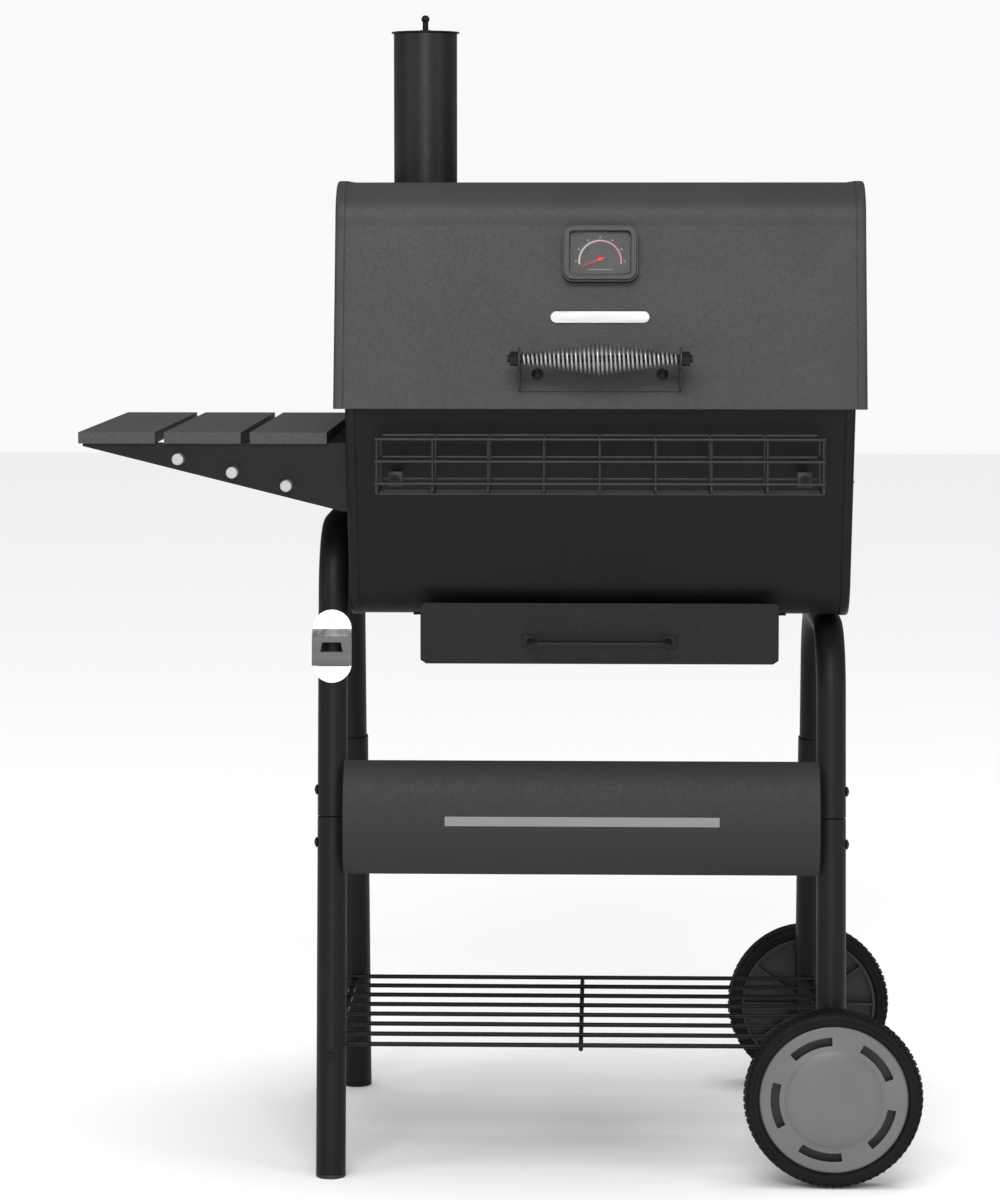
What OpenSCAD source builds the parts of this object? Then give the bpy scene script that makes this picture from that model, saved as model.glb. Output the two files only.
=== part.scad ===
// Barrel charcoal grill on a wheeled cart, with a hinged lid, chimney, ash drawer,
// side shelf, tool basket and a wire rack under the barrel.

/* [Barrel] */
// Width of the firebox over its end plates
firebox_w = 532; // [440:1:640]
// Depth of the firebox at its rim
firebox_d = 478; // [400:1:560]
// Height of the firebox floor above the ground
firebox_floor_z = 598; // [540:1:660]
// Height of the split between firebox and lid
split_z = 822; // [780:1:880]
// Lean of the firebox front and back
firebox_lean = 17.8; // [10:0.1:24]
// Outer radius of the firebox's lower corners
firebox_corner_r = 50; // [30:1:60]
// Thickness of the sheet steel
sheet = 1.6; // [1.2:0.1:2.5]
// Thickness of the end plates
end_plate = 2; // [1.5:0.1:3]
// Width of the rolled rim on each end plate
end_rim_w = 10; // [6:1:14]

/* [Lid] */
// How far each lid end stands outside the firebox end
lid_overhang = 12; // [9:1:20]
// How far the lid stands in front of the firebox rim
lid_lap = 6; // [5:0.5:10]
// Height of the lid from its bottom edge to its top
lid_h = 236; // [180:1:300]
// Height of the crease where the lid front meets the round corner
lid_crease_h = 191; // [130:1:192]
// Lean of the lid front and back
lid_lean = 12.4; // [6:0.1:18]

/* [Chimney] */
// Outer radius of the chimney
chimney_r = 35.2; // [25:0.1:45]
// Height of the chimney above the lid
chimney_h = 167; // [100:1:220]
// Chimney's distance from the middle of the barrel, to the left
chimney_x = -195; // [-215:1:-150]
// Chimney's distance behind the middle of the barrel
chimney_y = 50; // [0:1:80]
// Radius of the cap's stem
stem_r = 3.25; // [2.5:0.05:4]

/* [Cart] */
// Outer radius of the leg tubes
tube_r = 15.9; // [12:0.1:19]
// Wall of the leg tubes
tube_wall = 1.5; // [1.2:0.1:2]
// Distance from the middle of the cart to each foot, front to back
foot_y = 208; // [180:1:240]
// Splay of the legs, front to back
splay = 6.2; // [3:0.1:8]
// Bend radius of the leg frames at the tube's centre line
bend_r = 75; // [55:1:90]
// Height of the left leg frame's top bar, at its centre
left_bar_z = 687; // [640:1:720]
// Gap between the left leg frame and the firebox end
left_gap = 4; // [3:0.5:10]
// How far the right leg frame stands in from the firebox end
right_inset = 18; // [16:1:40]
// Height of the joint in the front legs
front_joint_z = 382; // [360:1:400]
// Height of the joint in the rear legs
rear_joint_z = 423; // [400:1:440]
// Wall of the lower rear legs, which sleeve over the frames
sleeve_wall = 1.55; // [1.2:0.05:2]
// Height of the wire rack
rack_z = 130; // [110:1:200]
// Radius of the rack's wires
rack_wire_r = 2.5; // [1.5:0.1:3]

/* [Wheels] */
// Radius of the wheels over the tread
wheel_r = 95.3; // [80:0.1:115]
// Width of the tyres
wheel_w = 32; // [24:1:36]
// Radius of the rim under the tyre
rim_r = 79; // [60:1:79]
// Radius of the axle
axle_r = 5; // [4:0.5:6]

/* [Shelf] */
// Width of one shelf slat
slat_w = 81.2; // [60:0.1:100]
// Gap between slats
slat_gap = 9.6; // [5:0.1:20]
// Length of the slats, front to back
slat_l = 406; // [320:1:440]
// Thickness of the slats
slat_t = 12; // [8:1:20]
// Height of the shelf's top
shelf_z = 796; // [780:1:810]
// Radius of the tool pegs
peg_r = 6.2; // [4:0.1:8]
// Length of the tool pegs
peg_l = 18; // [10:1:30]

/* [Basket] */
// Width of the wire basket
basket_w = 460; // [360:1:480]
// Depth of the wire basket
basket_d = 75; // [50:1:100]
// Height of the basket's top wire
basket_top_z = 796; // [770:1:805]
// Spacing of the basket's level wires
basket_step = 22.7; // [18:0.1:26]

/* [Ash drawer] */
// Width of the drawer front
drawer_front_w = 380; // [300:1:400]
// Height of the drawer front
drawer_front_h = 65; // [50:1:80]
// Depth of the drawer box
drawer_d = 330; // [240:1:350]

/* [Hidden] */
$fn = 48;
eps = 0.01;
run_gap = 0.05;

// Colours of the finishes
black_paint = [0.14, 0.14, 0.145];
grey_paint = [0.27, 0.27, 0.27];
black_plastic = [0.09, 0.09, 0.09];
tyre_black = [0.06, 0.06, 0.06];
hub_grey = [0.45, 0.45, 0.45];
bright_steel = [0.78, 0.78, 0.8];
enamel = [0.08, 0.08, 0.085];

// ---- shared sizes --------------------------------------------------------------
half_w = firebox_w / 2;
half_d = firebox_d / 2;
rim_lap = 12;
lid_half_w = half_w + lid_overhang;
lid_half_d = half_d + lid_lap;
lid_z = split_z + 1;
lid_corner_r = lid_h - lid_crease_h;
lid_top_z = lid_z + lid_h;
flange_out = 1.5;
left_x = -(half_w + left_gap + tube_r);
right_x = half_w - right_inset;
right_bar_z = firebox_floor_z - flange_out - tube_r - run_gap;
rear_tube_r = tube_r + run_gap + sleeve_wall;
axle_z = wheel_r;
right_leg_end_z = axle_z - 25.3;
cap_flange = 3;
hinge_y = lid_half_d + 13;
hinge_z = lid_z + 1;
hinge_x = 180;
hinge_pin_r = 3;
knuckle_r = 7;
slat_pitch = slat_w + slat_gap;
slat_inner_x = -(lid_half_w + 9.7);
shelf_left_x = slat_inner_x - 2 * slat_pitch - slat_w;
bracket_t = 2;
basket_wire_r = 1.5;
basket_back_y = -(half_d + 7);
basket_front_y = basket_back_y - basket_d;
wheel_in_y = leg_y(axle_z) + tube_r / cos(splay) + 5.5;
wheel_out_y = wheel_in_y + wheel_w;

// The part's origin is under the middle of its box
mid_x = (shelf_left_x + right_x + wheel_r) / 2;
mid_y = (basket_front_y - basket_wire_r + hinge_y + knuckle_r) / 2;
module placed() { translate([-mid_x, -mid_y, 0]) children(); }

// Extrudes an outline drawn in Y and Z along X
module along_x(x0, x1) {
  translate([x0, 0, 0]) rotate([90, 0, 90]) linear_extrude(height = x1 - x0) children();
}
module rod_x(r, x0, x1) {
  translate([x0, 0, 0]) rotate([0, 90, 0]) cylinder(r = r, h = x1 - x0);
}
module rod_y(r, y0, y1) {
  translate([0, y1, 0]) rotate([90, 0, 0]) cylinder(r = r, h = y1 - y0);
}
module mirrored_x() { children(); mirror([1, 0, 0]) children(); }
module mirrored_y() { children(); mirror([0, 1, 0]) children(); }

function arc(cy, cz, r, a0, a1, n = 10) =
  [for (i = [0:n]) [cy + r * cos(a0 + (a1 - a0) * i / n), cz + r * sin(a0 + (a1 - a0) * i / n)]];
function flipped(pts) = [for (i = [len(pts) - 1:-1:0]) [-pts[i][0], pts[i][1]]];
// Distance of a leg's centre line from the middle, front to back
function leg_y(z) = foot_y - z * tan(splay);

// ---- barrel outlines, in Y and Z ---------------------------------------------------
// Distance of the firebox front from the middle at a height
function firebox_y(z) = half_d - (split_z - z) * tan(firebox_lean);
// Firebox outline, grown outwards by o and open upwards to height top
function firebox_outline(o, top) =
  let (
    floor_z = firebox_floor_z - o,
    r = firebox_corner_r + o,
    cz = firebox_floor_z + firebox_corner_r,
    slant_z = cz - firebox_corner_r * sin(firebox_lean),
    cy = firebox_y(slant_z) - firebox_corner_r * cos(firebox_lean),
    front = concat(
      [[-(half_d + o), top], [-(half_d + o), split_z]],
      arc(-cy, cz, r, 180 + firebox_lean, 270)
    )
  ) concat(front, flipped(front));

// Distance of the lid front from the middle at a height
function lid_y(z) = lid_half_d - (z - lid_z) * tan(lid_lean);
// Lid outline, grown outwards by o and open downwards to height bottom
function lid_outline(o, bottom) =
  let (
    crease_z = lid_z + lid_crease_h,
    cy = lid_y(crease_z) - lid_corner_r,
    wall_o = o / cos(lid_lean),
    front = concat(
      [[-(lid_y(bottom) + wall_o), bottom]],
      arc(-cy, crease_z, lid_corner_r + o, 180, 90)
    )
  ) concat(front, flipped(front));

// ---- leg frames -----------------------------------------------------------------------
// Inverted U of round bar: a level top, two bends and two splayed legs. The bends run a
// little past their ends and are slightly fuller than the straights that they join.
bend_full = 0.06;
bend_past = 0.6;
module u_bar(r, bar_z, end_z) {
  centre_z = bar_z - bend_r;
  tangent_z = centre_z + bend_r * sin(splay);
  centre_y = leg_y(tangent_z) - bend_r * cos(splay);
  translate([0, 0, bar_z]) rod_y(r, -centre_y, centre_y);
  mirrored_y() {
    translate([0, centre_y, centre_z]) rotate([90, 0, 90]) rotate([0, 0, splay - bend_past])
      rotate_extrude(angle = 90 - splay + 2 * bend_past) translate([bend_r, 0])
        circle(r = r + bend_full);
    translate([0, leg_y(tangent_z), tangent_z]) rotate([splay, 0, 0])
      translate([0, 0, -(tangent_z - end_z) / cos(splay)])
        cylinder(r = r, h = (tangent_z - end_z) / cos(splay));
  }
}
module u_tube(bar_z, end_z) {
  difference() {
    u_bar(tube_r, bar_z, end_z);
    u_bar(tube_r - tube_wall, bar_z, end_z - 5);
  }
}
// Straight tube that follows the rear leg's centre line between two heights
module leg_rod(r, z0, z1) {
  translate([0, leg_y(z0), z0]) rotate([splay, 0, 0]) cylinder(r = r, h = (z1 - z0) / cos(splay));
}
// Level holes that the leg bolts go through
module leg_bolt_holes(r, side) {
  for (z = leg_bolt_z)
    translate([0, leg_y(z), z])
      if (side < 0) rod_x(r, -tube_r - 5, 0);
      else rod_x(r, 0, tube_r + 5);
}
leg_bolt_z = [354, 410];
leg_bolt_r = 3;
neck_l = 60;

module left_leg_frame() {
  color(black_paint) placed() difference() {
    translate([left_x, 0, 0]) difference() {
      u_tube(left_bar_z, front_joint_z);
      for (y = [-frame_bolt_y, frame_bolt_y])
        translate([0, y, left_bar_z]) rod_x(frame_bolt_r + run_gap, 0, tube_r + 5);
      mirrored_y() translate([0, leg_y(leg_bolt_z[1]), leg_bolt_z[1]])
        rod_x(leg_bolt_r + run_gap, -tube_r - 5, 0);
    }
    opener_place() for (z = [-opener_screw_z, opener_screw_z])
      translate([0, 0, z]) rod_y(screw_r + run_gap, -1, tube_r / 2);
  }
}
module right_leg_frame() {
  color(black_paint) placed() translate([right_x, 0, 0]) difference() {
    u_tube(right_bar_z, front_joint_z);
    for (y = [-frame_bolt_y, frame_bolt_y])
      translate([0, y, right_bar_z]) cylinder(r = frame_bolt_r + run_gap, h = tube_r + 5);
    mirrored_y() translate([0, leg_y(leg_bolt_z[1]), leg_bolt_z[1]])
      rod_x(leg_bolt_r + run_gap, 0, tube_r + 5);
  }
}
frame_bolt_y = 45;
frame_bolt_r = 4;

// Lower front leg: a tube with a narrowed neck inside the frame's tube
module front_lower_leg(end_z, side) {
  neck_r = tube_r - tube_wall - run_gap;
  mirror([0, 1, 0]) difference() {
    union() {
      leg_rod(tube_r, end_z, front_joint_z);
      leg_rod(neck_r, front_joint_z - 1, front_joint_z + neck_l);
    }
    leg_rod(neck_r - tube_wall, end_z - 5, front_joint_z + neck_l + 5);
    leg_bolt_holes(leg_bolt_r + run_gap, side);
    translate([0, -foot_y * 2, rack_z]) rod_y(screw_r + run_gap, 0, foot_y * 4);
    if (side > 0) translate([0, -foot_y * 2, axle_z]) rod_y(axle_r + run_gap, 0, foot_y * 4);
  }
}
// Lower rear leg: a wider tube that the frame's tube drops into
module rear_lower_leg(end_z, side) {
  difference() {
    leg_rod(rear_tube_r, end_z, rear_joint_z);
    leg_rod(tube_r + run_gap, end_z - 5, rear_joint_z + 5);
    for (z = leg_bolt_z)
      translate([0, leg_y(z), z])
        if (side < 0) rod_x(leg_bolt_r + run_gap, -rear_tube_r - 5, 0);
        else rod_x(leg_bolt_r + run_gap, 0, rear_tube_r + 5);
    translate([0, -foot_y * 2, rack_z]) rod_y(screw_r + run_gap, 0, foot_y * 4);
    if (side > 0) translate([0, -foot_y * 2, axle_z]) rod_y(axle_r + run_gap, 0, foot_y * 4);
  }
}
module front_left_leg() {
  color(black_paint) placed() translate([left_x, 0, 0]) front_lower_leg(cap_flange, -1);
}
module rear_left_leg() {
  color(black_paint) placed() translate([left_x, 0, 0]) rear_lower_leg(cap_flange, -1);
}
module front_right_leg() {
  color(black_paint) placed() translate([right_x, 0, 0]) front_lower_leg(right_leg_end_z, 1);
}
module rear_right_leg() {
  color(black_paint) placed() translate([right_x, 0, 0]) rear_lower_leg(right_leg_end_z, 1);
}
// Plugs in the four tube ends
plug_l = 16;
module leg_plug(r, bore_r, end_z) {
  translate([0, leg_y(end_z - cap_flange), end_z - cap_flange]) rotate([splay, 0, 0]) {
    difference() {
      translate([0, 0, cap_flange - 0.5]) cylinder(r = bore_r - 0.2, h = plug_l);
      translate([0, 0, cap_flange + 5]) cylinder(r = bore_r - 2.5, h = plug_l);
    }
  }
  difference() {
    translate([0, leg_y(end_z - cap_flange), end_z - cap_flange]) rotate([splay, 0, 0])
      translate([0, 0, -4]) cylinder(r = r, h = cap_flange + 4);
    translate([-50, leg_y(end_z) - 50, end_z - cap_flange - 20]) cube([100, 100, 20]);
  }
}
module leg_caps() {
  front_bore = tube_r - 2 * tube_wall - run_gap;
  color(black_plastic) placed() {
    translate([left_x, 0, 0]) {
      mirror([0, 1, 0]) leg_plug(tube_r, front_bore, cap_flange);
      leg_plug(rear_tube_r, tube_r, cap_flange);
    }
    translate([right_x, 0, 0]) {
      mirror([0, 1, 0]) leg_plug(tube_r, front_bore, right_leg_end_z);
      leg_plug(rear_tube_r, tube_r, right_leg_end_z);
    }
  }
}
// Button-head bolts through the outer sides of the legs
module leg_bolt(r) {
  head_r = 5.5;
  rod_x(leg_bolt_r, -r - 1, -4);
  translate([-r - 0.2, 0, 0]) rotate([0, -90, 0]) intersection() {
    cylinder(r = head_r, h = 3.2);
    translate([0, 0, -4.6]) sphere(r = 7.8);
  }
}
module leg_bolts() {
  color(black_paint) placed() for (z = leg_bolt_z) {
    translate([left_x, -leg_y(z), z]) leg_bolt(tube_r);
    translate([left_x, leg_y(z), z]) leg_bolt(z < rear_joint_z ? rear_tube_r : tube_r);
    translate([right_x, -leg_y(z), z]) mirror([1, 0, 0]) leg_bolt(tube_r);
    translate([right_x, leg_y(z), z]) mirror([1, 0, 0]) leg_bolt(z < rear_joint_z ? rear_tube_r : tube_r);
  }
}

// ---- panels between the legs -------------------------------------------------------------
panel_z0 = 320;
panel_z1 = 441;
panel_bulge = 20;
// Front panel: a sheet bowed outwards, with end flanges against the legs
module front_panel() {
  chord = (panel_z1 - panel_z0) / cos(splay);
  r = (chord * chord / 4 + panel_bulge * panel_bulge) / (2 * panel_bulge);
  half_a = asin(chord / 2 / r);
  x0 = left_x + tube_r - 3;
  x1 = right_x - tube_r + 3;
  z_mid = (panel_z0 + panel_z1) / 2;
  tuck = tube_r - 4.5;
  color(black_paint) placed() difference() {
    translate([0, -leg_y(z_mid), z_mid]) rotate([-splay, 0, 0]) translate([0, -tuck, 0])
      along_x(x0, x1) union() {
        polygon(concat(
          arc(r - panel_bulge, 0, r, 180 - half_a, 180 + half_a, 16),
          arc(r - panel_bulge, 0, r - sheet, 180 + half_a, 180 - half_a, 16)
        ));
      }
    for (x = [left_x, right_x])
      translate([x, 0, 0]) mirror([0, 1, 0]) leg_rod(tube_r + run_gap, panel_z0 - 40, panel_z1 + 40);
  }
  color(black_paint) placed()
    for (x = [left_x + tube_r + 0.1, right_x - tube_r - end_plate - 0.1])
      translate([x, -leg_y(z_mid), z_mid]) rotate([-splay, 0, 0]) translate([0, -tuck, 0])
        along_x(0, end_plate) polygon(concat(
          arc(r - panel_bulge, 0, r - sheet / 2, 180 - half_a * 0.97, 180 + half_a * 0.97, 16),
          [[14, -chord / 2 + 12], [14, chord / 2 - 12]]
        ));
}
// Rear brace: a straight channel between the rear legs
module rear_brace() {
  z0 = 320;
  z1 = 382;
  z_mid = (z0 + z1) / 2;
  x0 = left_x + rear_tube_r + 0.2;
  x1 = right_x - rear_tube_r - 0.2;
  flange = 14;
  color(black_paint) placed() translate([0, leg_y(z_mid), z_mid]) rotate([splay, 0, 0]) {
    translate([x0, -flange / 2, -(z1 - z0) / 2]) difference() {
      cube([x1 - x0, flange, z1 - z0]);
      translate([end_plate, -eps, sheet])
        cube([x1 - x0 - 2 * end_plate, flange - sheet + eps, z1 - z0 - 2 * sheet]);
    }
  }
}

// ---- wire rack ------------------------------------------------------------------------
rack_wires = 8;
rack_bar_r = 4;
rack_front_y = -(leg_y(rack_z) - tube_r / cos(splay) - rack_wire_r - 0.3);
rack_rear_y = leg_y(rack_z) - rear_tube_r / cos(splay) - rack_wire_r - 0.3;
module bottom_rack() {
  wire_z = rack_z + rack_bar_r + rack_wire_r - 0.6;
  step = (rack_rear_y - rack_front_y) / (rack_wires - 1);
  bar_front_y = -(leg_y(rack_z) - tube_r / cos(splay) - 0.6);
  bar_rear_y = leg_y(rack_z) - rear_tube_r / cos(splay) - 0.6;
  color(black_paint) placed() {
    for (x = [left_x, right_x])
      translate([x, 0, rack_z]) difference() {
        rod_y(rack_bar_r, bar_front_y, bar_rear_y);
        rod_y(screw_r + run_gap, bar_front_y - 1, bar_front_y + rack_screw_l + 2);
        rod_y(screw_r + run_gap, bar_rear_y - rack_screw_l - 2, bar_rear_y + 1);
      }
    for (i = [0:rack_wires - 1])
      translate([0, rack_front_y + i * step, wire_z])
        rod_x(rack_wire_r, left_x - 3, right_x + 3, $fn = 12);
    translate([(left_x + right_x) / 2, 0, wire_z - 2 * rack_wire_r + 0.6])
      rod_y(rack_wire_r, rack_front_y, rack_rear_y, $fn = 12);
  }
}

// ---- wheels -----------------------------------------------------------------------------
boss_r = 16;
module axle() {
  color(bright_steel) placed() translate([right_x, 0, axle_z])
    rod_y(axle_r, -wheel_out_y + 5.5, wheel_out_y - 5.5);
}
module axle_nuts() {
  color(bright_steel) placed() translate([right_x, 0, axle_z]) mirrored_y() {
    // Washer between the leg and the wheel
    translate([0, leg_y(axle_z) + tube_r / cos(splay) + 3.2, 0]) difference() {
      rod_y(11, 0, 1.8);
      translate([0, -1, 0]) rod_y(axle_r + run_gap, 0, 4);
    }
    // Lock nut inside the hub cap
    translate([0, wheel_out_y - 13.5, 0]) difference() {
      rod_y(9, 0, 6, $fn = 6);
      translate([0, -1, 0]) rod_y(axle_r + run_gap, 0, 8);
    }
  }
}
// A wheel outside the rear leg, its outer face towards +Y
module tyre() {
  half = wheel_w / 2;
  shoulder = 7;
  translate([right_x, wheel_in_y + half, axle_z]) rotate([-90, 0, 0]) rotate_extrude($fn = 96)
    polygon(concat(
      [[rim_r, -half + 3], [rim_r + 5, -half]],
      arc(wheel_r - shoulder, -half + shoulder, shoulder, -90, -8, 6),
      arc(wheel_r - shoulder, half - shoulder, shoulder, 8, 90, 6),
      [[rim_r + 5, half], [rim_r, half - 3]]
    ));
}
module rim() {
  half = wheel_w / 2;
  web = 3;
  translate([right_x, wheel_in_y + half, axle_z]) rotate([-90, 0, 0]) {
    difference() {
      union() {
        rotate_extrude($fn = 96) polygon([
          [rim_r - 3.5, -half + 4], [rim_r - 0.05, -half + 4],
          [rim_r - 0.05, half - 6], [rim_r - 3.5, half - 6]
        ]);
        translate([0, 0, -web / 2]) cylinder(r = rim_r - 2, h = web, $fn = 96);
        translate([0, 0, -half]) cylinder(r = boss_r, h = wheel_w - 14);
        for (i = [0:9]) rotate([0, 0, 36 * i])
          translate([boss_r - 2, -1.5, -half + 5]) cube([rim_r - boss_r - 1, 3, half - 5]);
      }
      translate([0, 0, -half - 1]) cylinder(r = axle_r + run_gap, h = wheel_w + 2);
    }
  }
}
// Slotted disc that clips over the outer face
module hub_cap() {
  slots = 5;
  slot_r = rim_r * 0.785;
  slot_w = 7.4;
  slot_a = 44;
  translate([right_x, wheel_out_y - 2.2, axle_z]) rotate([-90, 0, 0]) difference() {
    rotate_extrude($fn = 96) polygon([
      [0, 0.8], [49, 0.8], [53, -0.6], [rim_r - 4, -0.6], [rim_r - 0.4, -1.4], [rim_r - 0.4, -3.2],
      [rim_r - 3, -3.2], [rim_r - 4, -2.6], [51, -2.6], [49, -1.2], [0, -1.2]
    ]);
    for (i = [0:slots - 1]) rotate([0, 0, 41 + 360 / slots * i]) {
      translate([0, 0, -6]) rotate([0, 0, -slot_a / 2]) rotate_extrude(angle = slot_a, $fn = 96)
        translate([slot_r - slot_w / 2, 0]) square([slot_w, 12]);
    }
  }
}
module front_tyre() { color(tyre_black) placed() mirror([0, 1, 0]) tyre(); }
module front_rim() { color(black_plastic) placed() mirror([0, 1, 0]) rim(); }
module front_hub_cap() { color(hub_grey) placed() mirror([0, 1, 0]) hub_cap(); }
module rear_tyre() { color(tyre_black) placed() tyre(); }
module rear_rim() { color(black_plastic) placed() rim(); }
module rear_hub_cap() { color(hub_grey) placed() hub_cap(); }

// ---- firebox -------------------------------------------------------------------------------
slot_half_x = 160;
slot_half_y = 95;
module firebox_shell() {
  color(black_paint) placed() difference() {
    along_x(-half_w + end_plate, half_w - end_plate) difference() {
      polygon(firebox_outline(0, split_z + rim_lap));
      polygon(firebox_outline(-sheet, split_z + rim_lap + 5));
    }
    // Slot above the ash drawer
    translate([-slot_half_x, -slot_half_y, firebox_floor_z - 5])
      cube([2 * slot_half_x, 2 * slot_half_y, 12]);
    for (y = [-frame_bolt_y, frame_bolt_y])
      translate([right_x, y, firebox_floor_z - 5]) cylinder(r = frame_bolt_r + run_gap, h = 12);
    for (x = [-basket_tab_x, basket_tab_x])
      translate([x, 0, basket_tab_z]) rod_y(screw_r + run_gap, -half_d, 0);
  }
}
// End plate with a rim that laps over the shell; the plate is at +X
module firebox_end() {
  difference() {
    along_x(half_w - end_rim_w, half_w) polygon(firebox_outline(flange_out, split_z + rim_lap - 4));
    along_x(half_w - end_rim_w - 1, half_w - end_plate) polygon(firebox_outline(0.02, split_z + 50));
  }
}
vent_z = 700;
vent_r = 34;
vent_hole_r = 9;
vent_hole_pcr = 20;
vent_pivot_r = 3;
module vent_holes(x0, x1) {
  for (i = [0:2]) rotate([30 + 120 * i, 0, 0]) translate([0, vent_hole_pcr, 0]) rod_x(vent_hole_r, x0, x1);
}
module firebox_left_end() {
  color(black_paint) placed() difference() {
    mirror([1, 0, 0]) firebox_end();
    for (y = [-frame_bolt_y, frame_bolt_y])
      translate([0, y, left_bar_z]) rod_x(frame_bolt_r + run_gap, -half_w - 5, -half_w + 5);
    shelf_end_screws() rod_x(screw_r + run_gap, -5, 5);
  }
}
module firebox_right_end() {
  color(black_paint) placed() {
    difference() {
      firebox_end();
      translate([0, 0, vent_z]) vent_holes(half_w - 5, half_w + 5);
    }
    // Rivet that the vent shutter turns on
    translate([0, 0, vent_z]) {
      rod_x(vent_pivot_r, half_w - 1, half_w + 4);
      rod_x(vent_pivot_r + 2.5, half_w + 2.2, half_w + 4);
    }
  }
}
// Disc shutter with a turned-out tab
module vent_shutter() {
  x0 = half_w + 0.3;
  color(grey_paint) placed() translate([0, 0, vent_z]) {
    difference() {
      rod_x(vent_r, x0, x0 + 1.5);
      rotate([60, 0, 0]) vent_holes(x0 - 1, x0 + 5);
      rod_x(vent_pivot_r + run_gap, x0 - 1, x0 + 5);
    }
    translate([x0, -8, vent_r - 4]) cube([15, 16, 1.5]);
  }
}
// Bolts that hold the leg frames to the firebox, with spacers on the left
// Bolts through the frames' top bars, each with a saddle that fills up to the firebox
module frame_fixings() {
  nut_h = 5;
  stud_start = tube_r / 2;
  saddle_r = right_inset - end_rim_w - 0.5;
  color(black_paint) placed() {
    for (y = [-frame_bolt_y, frame_bolt_y]) {
      translate([0, y, left_bar_z]) {
        rod_x(frame_bolt_r, left_x + stud_start, -half_w + 10);
        translate([-half_w + end_plate, 0, 0]) rod_x(6.5, 0, nut_h, $fn = 6);
        difference() {
          rod_x(saddle_r, left_x + tube_r - 1.5, -half_w);
          translate([left_x, 0, 0]) rod_y(tube_r, -20, 20);
        }
      }
      translate([right_x, y, 0]) {
        translate([0, 0, right_bar_z + stud_start])
          cylinder(r = frame_bolt_r, h = firebox_floor_z + 10 - right_bar_z - stud_start);
        translate([0, 0, firebox_floor_z + sheet]) cylinder(r = 6.5, h = nut_h, $fn = 6);
        difference() {
          translate([0, 0, right_bar_z + tube_r - 3]) cylinder(r = saddle_r, h = flange_out + 3.04);
          translate([0, 0, right_bar_z]) rod_y(tube_r + 0.01, -20, 20);
        }
      }
    }
  }
}

// ---- grates --------------------------------------------------------------------------------
rest_z = 804;
coal_z = 650;
rest_w = 14;
function inner_y(z) = firebox_y(z) - sheet / cos(firebox_lean);
// Angle welded to the front wall, its lip at height z
module rest_angle(z) {
  along_x(-half_w + end_plate + 0.2, half_w - end_plate - 0.2) polygon([
    [-inner_y(z), z], [-inner_y(z) + rest_w, z], [-inner_y(z) + rest_w, z - 1.6],
    [-inner_y(z - 1.6) + 1.8, z - 1.6], [-inner_y(z - 12) + 1.6, z - 12], [-inner_y(z - 12), z - 12]
  ]);
}
module grate_rests() {
  color(black_paint) placed() mirrored_y() {
    rest_angle(rest_z);
    rest_angle(coal_z);
  }
}
grate_bar_w = 5;
function grate_step(x0, x1, bars) = (x1 - x0 - grate_bar_w) / (bars - 1);
// Grate of flat bars joined by three cross bars
module bar_grate(x0, x1, y_half, z, bars, h) {
  for (i = [0:bars - 1])
    translate([x0 + i * grate_step(x0, x1, bars), -y_half, z]) cube([grate_bar_w, 2 * y_half, h]);
  for (y = [-y_half, -grate_bar_w / 2, y_half - grate_bar_w])
    translate([x0, y, z]) cube([x1 - x0, grate_bar_w, h - 2]);
}
// The two cooking grates meet in the middle with a gap between them
grate_gap = 1;
grate_h = 9;
grate_bars = 17;
grate_end_x = half_w - end_plate - 4;
module cooking_grate_left() {
  color(enamel) placed()
    bar_grate(-grate_end_x, -grate_gap, inner_y(rest_z) - 3, rest_z, grate_bars, grate_h);
}
module cooking_grate_right() {
  color(enamel) placed()
    bar_grate(grate_gap, grate_end_x, inner_y(rest_z) - 3, rest_z, grate_bars, grate_h);
}
module charcoal_grate() {
  color(enamel) placed()
    bar_grate(-half_w + end_plate + 8, half_w - end_plate - 8, inner_y(coal_z) - 4, coal_z, 27, 6);
}
warm_z = 905;
warm_d = 140;
warm_y1 = half_d - 54;
warm_y0 = warm_y1 - warm_d;
warm_wire_r = 2.2;
// Its legs stand on the third bar from each side
warm_leg_x = grate_gap + (grate_bars - 3) * grate_step(grate_gap, grate_end_x, grate_bars)
  + grate_bar_w / 2;
warm_half_x = warm_leg_x + 7;
// Wire rack that stands over the rear of the cooking grates
module warming_rack() {
  wires = 7;
  sink = 0.7;
  color(bright_steel) placed() {
    for (i = [0:wires - 1])
      translate([0, warm_y0 + (warm_y1 - warm_y0) * i / (wires - 1), warm_z])
        rod_x(warm_wire_r, -warm_half_x, warm_half_x, $fn = 12);
    for (x = [-1, 0, 1] * (warm_half_x - 25))
      translate([x, 0, warm_z - 2 * warm_wire_r + sink])
        rod_y(warm_wire_r - 0.1, warm_y0 - 3, warm_y1 + 3, $fn = 12);
  }
}
// Its four legs, which stand on the cooking grates
module warming_rack_legs() {
  grate_top = rest_z + grate_h;
  color(bright_steel) placed()
    for (x = [-warm_leg_x, warm_leg_x], y = [warm_y0, warm_y1])
      translate([x, y, grate_top]) cylinder(r = 1.8, h = warm_z - warm_wire_r - grate_top);
}

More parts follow.
